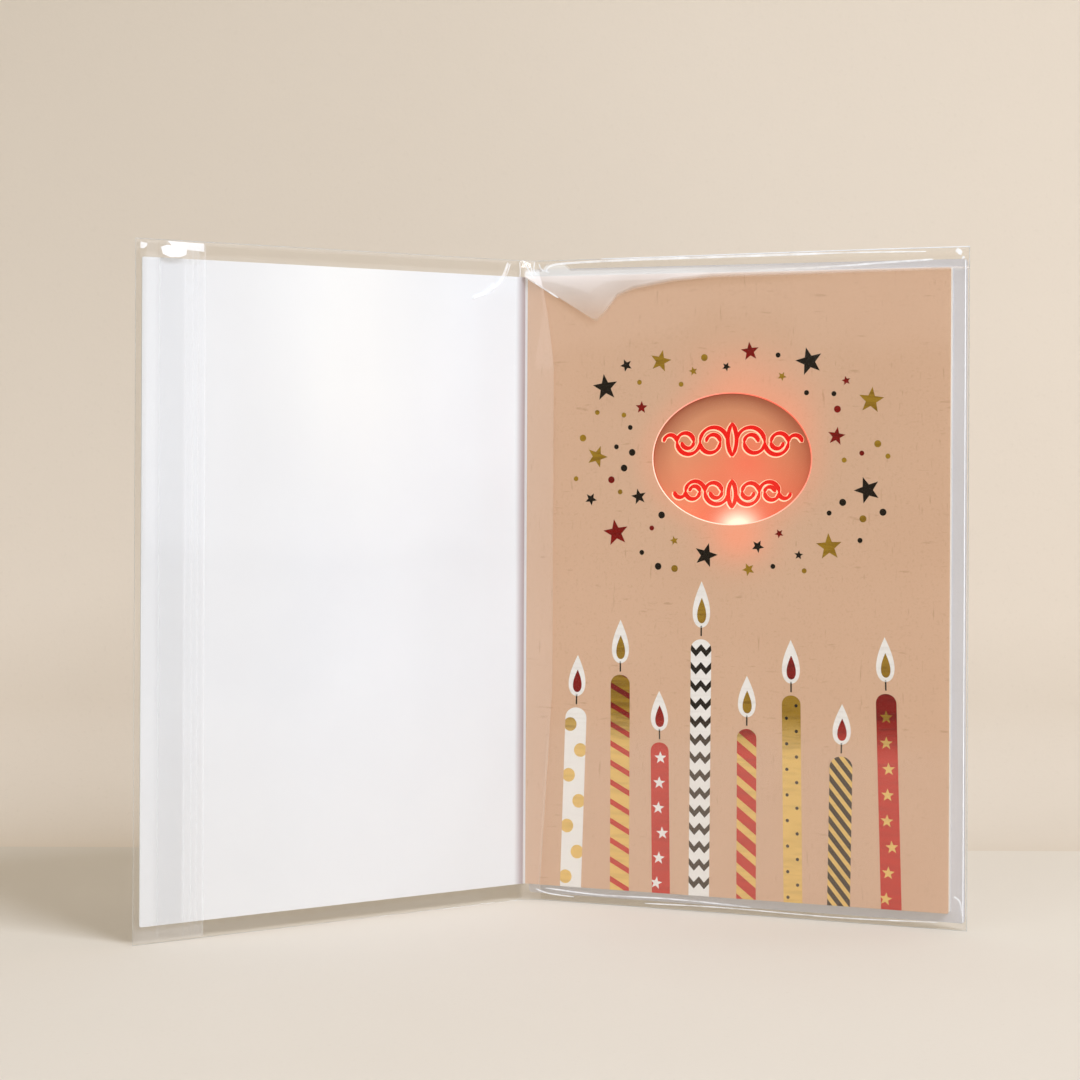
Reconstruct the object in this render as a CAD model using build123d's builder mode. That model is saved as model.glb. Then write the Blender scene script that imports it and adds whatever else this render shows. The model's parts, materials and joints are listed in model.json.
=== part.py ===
"""Light-up greeting card, standing open in its clear film bag with its envelope.

Millimetres, +Z up. The fold of the card is the Z axis and the bag's bottom edge is at z = 0.
The card opens toward -Y, and both leaves stand at the same angle to the XZ plane.
On each leaf x runs along the leaf, y runs up, and "behind" counts from the leaf's inner
face toward the back of the card.
"""
import os
from math import atan2, cos, radians, sin, tan

from build123d import *

os.makedirs("parts", exist_ok=True)

# Card
OPENING_ANGLE = 120.0
CARD_WIDTH = 127.0
CARD_HEIGHT = 177.8
COVER_THICKNESS = 0.35
FACE_THICKNESS = 0.30
CREASE_RADIUS = 0.18
CREASE_CLEARANCE = 0.03
LEAF_CORNER = 0.5

# Window in the printed face, and the light plate behind it
WINDOW_WIDTH = 47.6
WINDOW_HEIGHT = 37.5
WINDOW_RISE = 124.8  # window's centre above the card's bottom edge
PLATE_LAP = 4.2
PLATE_THICKNESS = 1.1
PLATE_CORNER = 5.0
PLATE_TAPE_WIDTH = 2.6
BACKING_THICKNESS = 0.10
POCKET_CLEARANCE = 0.2

# Scrollwork engraved in the plate, in two rows of half rings
GROOVE_WIDTH = 0.8
GROOVE_DEPTH = 0.2
SCROLL_ROWS = (  # rise above the window's middle, size, and which way up
    (0.256, 1.0, 1),
    (-0.50, 0.84, -1),
)
SCROLL_RINGS = (  # where a half ring starts and ends along its row, and its side of the row
    (0.055, 0.408, 1),
    (0.408, 0.151, -1),
    (0.151, 0.328, 1),
    (0.408, 0.702, -1),
    (0.702, 0.487, 1),
    (0.487, 0.639, -1),
    (0.702, 0.870, 1),
)
SCROLL_BUD = (-0.17, 0.01, 0.23)  # foot, widest place and tip of the bud in a row's middle
SCROLL_BUD_WIDTH = 0.055

# Lamp
LED_SHIFT = 2.0  # the lamp sits this far right of the window's centre
LED_WIDTH = 3.6
LED_HEIGHT = 2.8
LED_DEPTH = 0.9
LENS_RADIUS = 1.2
LENS_DEPTH = 0.8
LED_BOARD_WIDTH = 12.0
LED_BOARD_HEIGHT = 6.0

# Control board, its cell and its parts
BOARD_LEFT = 28.0  # board's edge from the fold
BOARD_WIDTH = 48.0
BOARD_HEIGHT = 30.0
BOARD_THICKNESS = 0.4
BOARD_CORNER = 1.0
CELL_DIAMETER = 20.0
CELL_THICKNESS = 1.6
CELL_EDGE = 0.35
CELL_CAP_STEP = 0.15
CELL_CAP_MARGIN = 1.0  # cell's rim outside its cap
CELL_MARGIN = 3.0  # board left to the right of the cell's hole
CELL_HOLE_CLEARANCE = 0.8
STRAP_THICKNESS = 0.1
STRAP_WIDTH = 5.0
STRAP_FOOT = 2.0
STRAP_REACH = 6.0
CHIP_RADIUS = 4.0
CHIP_HEIGHT = 0.9
CHIP_INSET = 8.0  # chip's middle from the board's edge
RESISTOR_INSET = 16.0
RESISTOR_LENGTH = 2.0
RESISTOR_WIDTH = 1.25
RESISTOR_HEIGHT = 0.5
RESISTOR_PITCH = 2.6
WIRE_DIAMETER = 0.7
WIRE_SPACING = 6.0
WIRE_DROP = 8.0  # gap between the lamp's board and the control board
WIRE_JOG = 1.4
WIRE_CHANNEL_ROOM = 2.8
WIRE_BEND_SHARE = 0.45
SOLDER_RADIUS = 0.8
SOLDER_INSET = 1.6
DROP_TAPER = 35  # slope of the sides of drops and the rivet's head, in degrees

# Switch that the cover works through a plastic tongue
TONGUE_WIDTH = 8.0
TONGUE_THICKNESS = 0.1
TONGUE_START = 4.0  # tongue's outer end from the fold
TONGUE_TAPE_LENGTH = 4.0
TONGUE_CLEARANCE = 0.02
TONGUE_CORNER = 1.0
TONGUE_SLOT_LAP = 1.0  # tongue's slot runs this far into the board's pocket
GUIDE_START = 18.0
GUIDE_LENGTH = 6.0
GUIDE_WIDTH = 12.0
GUIDE_ROOF = 0.5
PAD_THICKNESS = 0.05
PAD_LENGTH = 3.0
PAD_WIDTH = 5.0
BLADE_THICKNESS = 0.1
BLADE_WIDTH = 4.0
BLADE_FOOT = 4.0
BLADE_RISE = 0.4
BLADE_RAMP = 0.8
BLADE_LIP = 1.5
BLADE_LIP_RISE = 0.2
BLADE_GAP = 0.6  # blade's foot from the strap's foot
BLADE_LENGTH = 10.0
RIVET_RADIUS = 0.75
RIVET_HEAD = 1.2
RIVET_HEAD_HEIGHT = 0.25
RIVET_CLEARANCE = 0.05
TONGUE_SHORT = 1.0  # tongue's tip stops this far before the blade's lip

# Envelope behind the card
ENVELOPE_START = 0.5
ENVELOPE_SIDE_ROOM = 4.0  # envelope past the card's outer edge
ENVELOPE_FOOT_ROOM = 2.8  # envelope below the card
ENVELOPE_HEAD_ROOM = 2.4  # envelope above the card
ENVELOPE_PAPER = 0.15
ENVELOPE_CORNER = 1.0
FLAP_DEPTH = 62.0
FLAP_TIP = 110.0  # flat stretch at the flap's far end
FLAP_ROUNDING = 6.0

# Film bag
FILM = 0.05
BAG_FOOT = 1.9  # film below the envelope
BAG_HEAD = 2.4  # film above the envelope
BAG_END_RIGHT = 0.8  # film past the envelope's edge
BAG_END_LEFT = 1.9  # film past the left leaf's edge
SEAM_WIDTH = 1.2
END_SEAM = 0.4
SPINE_REACH = 3.0  # film that bends at the fold, on each leaf
SPINE_SLACK = 0.15
OPEN_END_REACH = 1.5  # a ply's hollow runs out of its open end by this much
FLAT_MARGIN = 0.3
END_MARGIN = 0.15
BAG_FLAP_WIDTH = 20.5
BAG_FLAP_INSET = 0.6
BAG_FLAP_CORNER = 1.5
ADHESIVE_WIDTH = 8.0
ADHESIVE_INSET = 6.0

# Levels behind the right leaf's inner face, worked out from the layers
SPACER_THICKNESS = CELL_THICKNESS + 2 * STRAP_THICKNESS
SPACER_BACK = FACE_THICKNESS + SPACER_THICKNESS
LEAF_BACK = SPACER_BACK + COVER_THICKNESS
ENVELOPE_MIDDLE = LEAF_BACK + ENVELOPE_PAPER
ENVELOPE_OUTER = ENVELOPE_MIDDLE + ENVELOPE_PAPER
ENVELOPE_BACK = ENVELOPE_OUTER + ENVELOPE_PAPER
BACKING_FRONT = SPACER_BACK - BACKING_THICKNESS
PLATE_FRONT = BACKING_FRONT - PLATE_THICKNESS
BOARD_FRONT = SPACER_BACK - BOARD_THICKNESS
LED_FRONT = BOARD_FRONT - LED_DEPTH
PAD_FRONT = BOARD_FRONT - PAD_THICKNESS
TONGUE_BACK = PAD_FRONT - TONGUE_CLEARANCE
TONGUE_FRONT = TONGUE_BACK - TONGUE_THICKNESS

# Places on the leaves, worked out from the sizes
CARD_BOTTOM = BAG_FOOT + ENVELOPE_FOOT_ROOM
CARD_TOP = CARD_BOTTOM + CARD_HEIGHT
ENVELOPE_RIGHT = CARD_WIDTH + ENVELOPE_SIDE_ROOM
ENVELOPE_BOTTOM = BAG_FOOT
ENVELOPE_TOP = CARD_TOP + ENVELOPE_HEAD_ROOM
BAG_TOP = ENVELOPE_TOP + BAG_HEAD
WINDOW_X = CARD_WIDTH / 2
WINDOW_Z = CARD_BOTTOM + WINDOW_RISE
PLATE_WIDTH = WINDOW_WIDTH + 2 * PLATE_LAP
PLATE_HEIGHT = WINDOW_HEIGHT + 2 * PLATE_LAP
PLATE_BOTTOM = WINDOW_Z - PLATE_HEIGHT / 2
LED_X = WINDOW_X + LED_SHIFT
LENS_LENGTH = LENS_RADIUS
LED_TOP = PLATE_BOTTOM - LENS_LENGTH
LED_BOARD_BOTTOM = LED_TOP - LED_BOARD_HEIGHT
BOARD_TOP = LED_BOARD_BOTTOM - WIRE_DROP
BOARD_Z = BOARD_TOP - BOARD_HEIGHT / 2
BOARD_RIGHT = BOARD_LEFT + BOARD_WIDTH
HOLE_RADIUS = CELL_DIAMETER / 2 + CELL_HOLE_CLEARANCE
CELL_X = BOARD_RIGHT - CELL_MARGIN - HOLE_RADIUS
BLADE_RIGHT = CELL_X - HOLE_RADIUS - STRAP_FOOT - BLADE_GAP
BLADE_LEFT = BLADE_RIGHT - BLADE_LENGTH
CONTACT_X = BLADE_LEFT + BLADE_LIP
TONGUE_TIP = BLADE_LEFT - TONGUE_SHORT

RIGHT = -(180 - OPENING_ANGLE) / 2
LEFT = -RIGHT
FAR_END, NEAR_END = -1, 0  # which corners a sheet has rounded, counted along its x


def leaf_plane(turn, behind):
    """Plane parallel to a leaf, facing the viewer, behind its inner face."""
    facing = Vector(sin(radians(turn)), -cos(radians(turn)), 0)
    along = Vector(cos(radians(turn)), sin(radians(turn)), 0)
    return Plane(origin=facing * -behind, x_dir=along, z_dir=facing)


def spot(turn, x, behind):
    """Point seen from above, at x along a leaf and behind its inner face."""
    place = leaf_plane(turn, behind).origin + leaf_plane(turn, 0).x_dir * x
    return (place.X, place.Y)


def middle(low, high):
    return (low + high) / 2


def layer(turn, front, back, span_x, span_z, corner=0.0, ends=(FAR_END,)):
    """Flat sheet between two levels behind a leaf's inner face."""
    with BuildPart() as sheet:
        with BuildSketch(leaf_plane(turn, back)) as outline:
            with Locations((middle(*span_x), middle(*span_z))):
                Rectangle(span_x[1] - span_x[0], span_z[1] - span_z[0])
            if corner:
                for end in ends:
                    fillet(outline.vertices().group_by(Axis.X)[end], radius=corner)
        extrude(amount=back - front)
    return sheet


def ribbon(points, thickness, bottom, height):
    """Upright strip of constant thickness, bent along points seen from above."""
    with BuildPart() as strip:
        with BuildSketch(Plane.XY.offset(bottom)):
            with BuildLine():
                Polyline(*points)
            trace(line_width=thickness)
        extrude(amount=height)
    return strip


FACING = Axis((0, 0, 0), leaf_plane(RIGHT, 0).z_dir)

# Outer sheet of the card on the right: back leaf, narrow spine and the crease's bead
with BuildPart() as back_leaf:
    with BuildSketch(leaf_plane(RIGHT, LEAF_BACK)) as leaf_outline:
        with Locations((CARD_WIDTH / 2, CARD_BOTTOM + CARD_HEIGHT / 2)):
            Rectangle(CARD_WIDTH, CARD_HEIGHT)
        fillet(leaf_outline.vertices().group_by(Axis.X)[FAR_END], radius=LEAF_CORNER)
    extrude(amount=COVER_THICKNESS)
    with BuildSketch(leaf_plane(RIGHT, LEAF_BACK)):
        with Locations((COVER_THICKNESS / 2, CARD_BOTTOM + CARD_HEIGHT / 2)):
            Rectangle(COVER_THICKNESS, CARD_HEIGHT)
    extrude(amount=LEAF_BACK)
    with BuildSketch(Plane.XY.offset(CARD_BOTTOM)):
        Circle(CREASE_RADIUS)
    extrude(amount=CARD_HEIGHT)
back_leaf.part.label = "back_leaf"
export_step(back_leaf.part, "parts/back_leaf.step")

# Outer sheet on the left: it turns about the crease's bead
cover_leaf = layer(
    LEFT, 0, COVER_THICKNESS,
    (-CARD_WIDTH, -CREASE_RADIUS - CREASE_CLEARANCE), (CARD_BOTTOM, CARD_TOP),
    LEAF_CORNER, (NEAR_END,),
)
cover_leaf.part.label = "cover_leaf"
export_step(cover_leaf.part, "parts/cover_leaf.step")

# Board that spaces the printed face from the back leaf, die-cut for what lies inside
with BuildPart() as spacer_frame:
    with BuildSketch(leaf_plane(RIGHT, SPACER_BACK)) as spacer_outline:
        with Locations((middle(COVER_THICKNESS, CARD_WIDTH), CARD_BOTTOM + CARD_HEIGHT / 2)):
            Rectangle(CARD_WIDTH - COVER_THICKNESS, CARD_HEIGHT)
        fillet(spacer_outline.vertices().group_by(Axis.X)[FAR_END], radius=LEAF_CORNER)
        with Locations((WINDOW_X, WINDOW_Z)):
            RectangleRounded(
                PLATE_WIDTH + 2 * POCKET_CLEARANCE, PLATE_HEIGHT + 2 * POCKET_CLEARANCE,
                PLATE_CORNER, mode=Mode.SUBTRACT,
            )
        with Locations((LED_X, middle(LED_BOARD_BOTTOM - POCKET_CLEARANCE, WINDOW_Z))):
            Rectangle(
                LED_BOARD_WIDTH + 2 * POCKET_CLEARANCE,
                WINDOW_Z - LED_BOARD_BOTTOM + POCKET_CLEARANCE, mode=Mode.SUBTRACT,
            )
        with Locations((LED_X + WIRE_JOG / 2, middle(BOARD_Z, LED_TOP))):
            Rectangle(
                WIRE_SPACING + WIRE_JOG + WIRE_CHANNEL_ROOM, LED_TOP - BOARD_Z,
                mode=Mode.SUBTRACT,
            )
        with Locations((middle(BOARD_LEFT, BOARD_RIGHT), BOARD_Z)):
            RectangleRounded(
                BOARD_WIDTH + 2 * POCKET_CLEARANCE, BOARD_HEIGHT + 2 * POCKET_CLEARANCE,
                BOARD_CORNER, mode=Mode.SUBTRACT,
            )
        with Locations((BOARD_LEFT / 2, BOARD_Z)):
            Rectangle(
                BOARD_LEFT + 2 * TONGUE_SLOT_LAP, GUIDE_WIDTH + 2 * POCKET_CLEARANCE,
                mode=Mode.SUBTRACT,
            )
    extrude(amount=SPACER_THICKNESS)
spacer_frame.part.label = "spacer_frame"
export_step(spacer_frame.part, "parts/spacer_frame.step")

# Printed face with its oval window
with BuildPart() as printed_face:
    with BuildSketch(leaf_plane(RIGHT, FACE_THICKNESS)) as face_outline:
        with Locations((middle(COVER_THICKNESS, CARD_WIDTH), CARD_BOTTOM + CARD_HEIGHT / 2)):
            Rectangle(CARD_WIDTH - COVER_THICKNESS, CARD_HEIGHT)
        fillet(face_outline.vertices().group_by(Axis.X)[FAR_END], radius=LEAF_CORNER)
        with Locations((WINDOW_X, WINDOW_Z)):
            Ellipse(WINDOW_WIDTH / 2, WINDOW_HEIGHT / 2, mode=Mode.SUBTRACT)
    extrude(amount=FACE_THICKNESS)
printed_face.part.label = "printed_face"
export_step(printed_face.part, "parts/printed_face.step")

# Light plate, the tan paper behind it and the foam tape ring that holds it off the face
with BuildPart() as backing_sheet:
    with BuildSketch(leaf_plane(RIGHT, SPACER_BACK)):
        with Locations((WINDOW_X, WINDOW_Z)):
            RectangleRounded(PLATE_WIDTH, PLATE_HEIGHT, PLATE_CORNER)
    extrude(amount=BACKING_THICKNESS)
backing_sheet.part.label = "backing_sheet"
export_step(backing_sheet.part, "parts/backing_sheet.step")


def engrave_row(level, unit, way):
    """Lines of one row of scrolls: the same half rings to both sides of a bud."""
    for half in (-1, 1):
        for start, end, side in SCROLL_RINGS:
            place = (WINDOW_X + half * unit * middle(start, end), level)
            lower = 0 if side * way > 0 else 180
            CenterArc(place, unit * abs(end - start) / 2, lower, 180)
        foot, waist, tip = (level + way * unit * height for height in SCROLL_BUD)
        bulge = WINDOW_X + half * unit * SCROLL_BUD_WIDTH
        ThreePointArc((WINDOW_X, foot), (bulge, waist), (WINDOW_X, tip))


with BuildPart() as light_plate:
    with BuildSketch(leaf_plane(RIGHT, BACKING_FRONT)):
        with Locations((WINDOW_X, WINDOW_Z)):
            RectangleRounded(PLATE_WIDTH, PLATE_HEIGHT, PLATE_CORNER)
    extrude(amount=PLATE_THICKNESS)
    with BuildSketch(leaf_plane(RIGHT, PLATE_FRONT)):
        with BuildLine():
            for rise, size, way in SCROLL_ROWS:
                engrave_row(WINDOW_Z + rise * WINDOW_HEIGHT / 2, size * WINDOW_WIDTH / 2, way)
        trace(line_width=GROOVE_WIDTH)
    extrude(amount=-GROOVE_DEPTH, mode=Mode.SUBTRACT)
light_plate.part.label = "light_plate"
export_step(light_plate.part, "parts/light_plate.step")

with BuildPart() as plate_tape:
    with BuildSketch(leaf_plane(RIGHT, PLATE_FRONT)):
        with Locations((WINDOW_X, WINDOW_Z)):
            RectangleRounded(PLATE_WIDTH, PLATE_HEIGHT, PLATE_CORNER)
            Ellipse(
                WINDOW_WIDTH / 2 + PLATE_LAP - PLATE_TAPE_WIDTH,
                WINDOW_HEIGHT / 2 + PLATE_LAP - PLATE_TAPE_WIDTH, mode=Mode.SUBTRACT,
            )
    extrude(amount=PLATE_FRONT - FACE_THICKNESS)
plate_tape.part.label = "plate_tape"
export_step(plate_tape.part, "parts/plate_tape.step")

# Lamp: its board, its white housing and the lens that touches the plate's lower edge
led_board = layer(
    RIGHT, BOARD_FRONT, SPACER_BACK,
    (LED_X - LED_BOARD_WIDTH / 2, LED_X + LED_BOARD_WIDTH / 2), (LED_BOARD_BOTTOM, LED_TOP),
)
led_board.part.label = "led_board"
export_step(led_board.part, "parts/led_board.step")

led_housing = layer(
    RIGHT, LED_FRONT, BOARD_FRONT,
    (LED_X - LED_WIDTH / 2, LED_X + LED_WIDTH / 2), (LED_TOP - LED_HEIGHT, LED_TOP),
)
led_housing.part.label = "led_housing"
export_step(led_housing.part, "parts/led_housing.step")

with BuildPart() as led_lens:
    with BuildSketch(leaf_plane(RIGHT, middle(LED_FRONT, BOARD_FRONT) + LENS_DEPTH / 2)):
        with BuildLine():
            CenterArc((LED_X, LED_TOP), LENS_RADIUS, 0, 180)
            Line((LED_X - LENS_RADIUS, LED_TOP), (LED_X + LENS_RADIUS, LED_TOP))
        make_face()
    extrude(amount=LENS_DEPTH)
led_lens.part.label = "led_lens"
export_step(led_lens.part, "parts/led_lens.step")

# Control board, with a round hole that the cell lies in and a hole for the rivet
RIVET_X = BLADE_RIGHT - BLADE_FOOT / 2
with BuildPart() as control_board:
    with BuildSketch(leaf_plane(RIGHT, SPACER_BACK)):
        with Locations((middle(BOARD_LEFT, BOARD_RIGHT), BOARD_Z)):
            RectangleRounded(BOARD_WIDTH, BOARD_HEIGHT, BOARD_CORNER)
        with Locations((CELL_X, BOARD_Z)):
            Circle(HOLE_RADIUS, mode=Mode.SUBTRACT)
        with Locations((RIVET_X, BOARD_Z)):
            Circle(RIVET_RADIUS + RIVET_CLEARANCE, mode=Mode.SUBTRACT)
    extrude(amount=BOARD_THICKNESS)
control_board.part.label = "control_board"
export_step(control_board.part, "parts/control_board.step")

# Cell with a stepped cap, between two sprung straps
with BuildPart() as coin_cell:
    with BuildSketch(leaf_plane(RIGHT, SPACER_BACK - STRAP_THICKNESS)):
        with Locations((CELL_X, BOARD_Z)):
            Circle(CELL_DIAMETER / 2)
    extrude(amount=CELL_THICKNESS - CELL_CAP_STEP)
    chamfer(coin_cell.faces().sort_by(FACING)[-1].edges(), length=CELL_EDGE)
    with BuildSketch(leaf_plane(RIGHT, FACE_THICKNESS + STRAP_THICKNESS + CELL_CAP_STEP)):
        with Locations((CELL_X, BOARD_Z)):
            Circle(CELL_DIAMETER / 2 - CELL_CAP_MARGIN)
    extrude(amount=CELL_CAP_STEP)
coin_cell.part.label = "coin_cell"
export_step(coin_cell.part, "parts/coin_cell.step")

HALF_STRAP = STRAP_THICKNESS / 2
FOOT_LEVEL = BOARD_FRONT - HALF_STRAP
strap_bottom = BOARD_Z - STRAP_WIDTH / 2
strap_riser = CELL_DIAMETER / 2 + CELL_HOLE_CLEARANCE / 2
cell_strap_positive = ribbon(
    [
        spot(RIGHT, CELL_X - STRAP_REACH, FACE_THICKNESS + HALF_STRAP),
        spot(RIGHT, CELL_X + strap_riser, FACE_THICKNESS + HALF_STRAP),
        spot(RIGHT, CELL_X + strap_riser, FOOT_LEVEL),
        spot(RIGHT, CELL_X + HOLE_RADIUS + STRAP_FOOT, FOOT_LEVEL),
    ],
    STRAP_THICKNESS, strap_bottom, STRAP_WIDTH,
)
cell_strap_positive.part.label = "cell_strap_positive"
export_step(cell_strap_positive.part, "parts/cell_strap_positive.step")

cell_strap_negative = ribbon(
    [
        spot(RIGHT, CELL_X + STRAP_REACH, SPACER_BACK - HALF_STRAP),
        spot(RIGHT, CELL_X - strap_riser, SPACER_BACK - HALF_STRAP),
        spot(RIGHT, CELL_X - strap_riser, FOOT_LEVEL),
        spot(RIGHT, CELL_X - HOLE_RADIUS - STRAP_FOOT, FOOT_LEVEL),
    ],
    STRAP_THICKNESS, strap_bottom, STRAP_WIDTH,
)
cell_strap_negative.part.label = "cell_strap_negative"
export_step(cell_strap_negative.part, "parts/cell_strap_negative.step")

# Chip under its resin drop, and a pair of resistors
part_row = BOARD_Z + middle(STRAP_WIDTH / 2, BOARD_HEIGHT / 2)
with BuildPart() as chip_blob:
    with BuildSketch(leaf_plane(RIGHT, BOARD_FRONT)):
        with Locations((BOARD_LEFT + CHIP_INSET, part_row)):
            Circle(CHIP_RADIUS)
    extrude(amount=CHIP_HEIGHT, taper=DROP_TAPER)
chip_blob.part.label = "chip_blob"
export_step(chip_blob.part, "parts/chip_blob.step")

with BuildPart() as resistors:
    with BuildSketch(leaf_plane(RIGHT, BOARD_FRONT)):
        with Locations((BOARD_LEFT + RESISTOR_INSET, part_row)):
            with GridLocations(0, RESISTOR_PITCH, 1, 2):
                Rectangle(RESISTOR_LENGTH, RESISTOR_WIDTH)
    extrude(amount=RESISTOR_HEIGHT)
resistors.part.label = "resistors"
export_step(resistors.part, "parts/resistors.step")

# Lamp wires: each leaves its solder joint straight, jogs once and arrives straight
WIRE_TOP = LED_BOARD_BOTTOM + SOLDER_INSET
WIRE_END = BOARD_TOP - SOLDER_INSET
WIRE_RUN = (WIRE_TOP - WIRE_END) / 3
WIRE_TURN = atan2(WIRE_JOG, WIRE_RUN)
WIRE_BEND = WIRE_BEND_SHARE * WIRE_RUN / tan(WIRE_TURN / 2)
wire_plane = leaf_plane(RIGHT, BOARD_FRONT - WIRE_DIAMETER / 2)


def lamp_wire(start_x):
    with BuildPart() as wire:
        with BuildLine(wire_plane) as route:
            FilletPolyline(
                (start_x, WIRE_TOP),
                (start_x, WIRE_TOP - WIRE_RUN),
                (start_x + WIRE_JOG, WIRE_END + WIRE_RUN),
                (start_x + WIRE_JOG, WIRE_END),
                radius=WIRE_BEND,
            )
        with BuildSketch(Plane(origin=route.line @ 0, z_dir=route.line % 0)):
            Circle(WIRE_DIAMETER / 2)
        sweep()
    length = sum(edge.length for edge in route.edges())
    print(f"lamp wire: {length:.1f} mm long, bend radius {WIRE_BEND:.1f} mm")
    return wire


led_wire_positive = lamp_wire(LED_X - WIRE_SPACING / 2)
led_wire_positive.part.label = "led_wire_positive"
export_step(led_wire_positive.part, "parts/led_wire_positive.step")

led_wire_negative = lamp_wire(LED_X + WIRE_SPACING / 2)
led_wire_negative.part.label = "led_wire_negative"
export_step(led_wire_negative.part, "parts/led_wire_negative.step")

with BuildPart() as solder_joints:
    with BuildSketch(leaf_plane(RIGHT, BOARD_FRONT)):
        for joint_x, joint_z in ((LED_X, WIRE_TOP), (LED_X + WIRE_JOG, WIRE_END)):
            with Locations((joint_x, joint_z)):
                with GridLocations(WIRE_SPACING, 0, 2, 1):
                    Circle(SOLDER_RADIUS)
    extrude(amount=WIRE_DIAMETER, taper=DROP_TAPER)
solder_joints.part.label = "solder_joints"
export_step(solder_joints.part, "parts/solder_joints.step")

# Switch: a sprung blade riveted to the board, and the pad that it presses on
contact_pad = layer(
    RIGHT, PAD_FRONT, BOARD_FRONT,
    (CONTACT_X - PAD_LENGTH / 2, CONTACT_X + PAD_LENGTH / 2),
    (BOARD_Z - PAD_WIDTH / 2, BOARD_Z + PAD_WIDTH / 2),
)
contact_pad.part.label = "contact_pad"
export_step(contact_pad.part, "parts/contact_pad.step")

HALF_BLADE = BLADE_THICKNESS / 2
blade_start = BLADE_RIGHT - BLADE_FOOT
with BuildPart() as contact_blade:
    with BuildSketch(Plane.XY.offset(BOARD_Z - BLADE_WIDTH / 2)):
        with BuildLine():
            Polyline(
                spot(RIGHT, BLADE_RIGHT, BOARD_FRONT - HALF_BLADE),
                spot(RIGHT, blade_start, BOARD_FRONT - HALF_BLADE),
                spot(RIGHT, blade_start - BLADE_RAMP, BOARD_FRONT - HALF_BLADE - BLADE_RISE),
                spot(RIGHT, CONTACT_X, PAD_FRONT - HALF_BLADE),
                spot(RIGHT, BLADE_LEFT, PAD_FRONT - HALF_BLADE - BLADE_LIP_RISE),
            )
        trace(line_width=BLADE_THICKNESS)
    extrude(amount=BLADE_WIDTH)
    with BuildSketch(leaf_plane(RIGHT, BOARD_FRONT)):
        with Locations((RIVET_X, BOARD_Z)):
            Circle(RIVET_RADIUS + RIVET_CLEARANCE)
    extrude(amount=BLADE_THICKNESS, mode=Mode.SUBTRACT)
contact_blade.part.label = "contact_blade"
export_step(contact_blade.part, "parts/contact_blade.step")

with BuildPart() as blade_rivet:
    with BuildSketch(leaf_plane(RIGHT, SPACER_BACK)):
        with Locations((RIVET_X, BOARD_Z)):
            Circle(RIVET_RADIUS)
    extrude(amount=BOARD_THICKNESS + BLADE_THICKNESS)
    with BuildSketch(leaf_plane(RIGHT, BOARD_FRONT - BLADE_THICKNESS)):
        with Locations((RIVET_X, BOARD_Z)):
            Circle(RIVET_HEAD)
    extrude(amount=RIVET_HEAD_HEIGHT, taper=DROP_TAPER)
blade_rivet.part.label = "blade_rivet"
export_step(blade_rivet.part, "parts/blade_rivet.step")

# Tongue that slides under the blade when the card closes, its tape and its guide
tongue_span = (BOARD_Z - TONGUE_WIDTH / 2, BOARD_Z + TONGUE_WIDTH / 2)
tab_tongue = layer(
    RIGHT, TONGUE_FRONT, TONGUE_BACK, (TONGUE_START, TONGUE_TIP), tongue_span,
    TONGUE_CORNER, (FAR_END,),
)
tab_tongue.part.label = "tab_tongue"
export_step(tab_tongue.part, "parts/tab_tongue.step")

tab_tape = layer(
    RIGHT, TONGUE_FRONT - TONGUE_THICKNESS, TONGUE_FRONT,
    (TONGUE_START, TONGUE_START + TONGUE_TAPE_LENGTH), tongue_span,
)
tab_tape.part.label = "tab_tape"
export_step(tab_tape.part, "parts/tab_tape.step")

guide_roof = TONGUE_FRONT - TONGUE_CLEARANCE
with BuildPart() as tab_guide:
    with BuildSketch(leaf_plane(RIGHT, SPACER_BACK)):
        with Locations((GUIDE_START + GUIDE_LENGTH / 2, BOARD_Z)):
            Rectangle(GUIDE_LENGTH, GUIDE_WIDTH)
    extrude(amount=SPACER_BACK - guide_roof + GUIDE_ROOF)
    with BuildSketch(leaf_plane(RIGHT, TONGUE_BACK + TONGUE_CLEARANCE)):
        with Locations((GUIDE_START + GUIDE_LENGTH / 2, BOARD_Z)):
            Rectangle(GUIDE_LENGTH, TONGUE_WIDTH + 2 * POCKET_CLEARANCE)
    extrude(amount=TONGUE_THICKNESS + 2 * TONGUE_CLEARANCE, mode=Mode.SUBTRACT)
tab_guide.part.label = "tab_guide"
export_step(tab_guide.part, "parts/tab_guide.step")

# Envelope, closed and flat behind the card
envelope_span_x = (ENVELOPE_START, ENVELOPE_RIGHT)
envelope_span_z = (ENVELOPE_BOTTOM, ENVELOPE_TOP)
envelope_front = layer(
    RIGHT, LEAF_BACK, ENVELOPE_MIDDLE, envelope_span_x, envelope_span_z,
    ENVELOPE_CORNER, (NEAR_END, FAR_END),
)
envelope_front.part.label = "envelope_front"
export_step(envelope_front.part, "parts/envelope_front.step")

envelope_back = layer(
    RIGHT, ENVELOPE_MIDDLE, ENVELOPE_OUTER, envelope_span_x, envelope_span_z,
    ENVELOPE_CORNER, (NEAR_END, FAR_END),
)
envelope_back.part.label = "envelope_back"
export_step(envelope_back.part, "parts/envelope_back.step")

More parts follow.
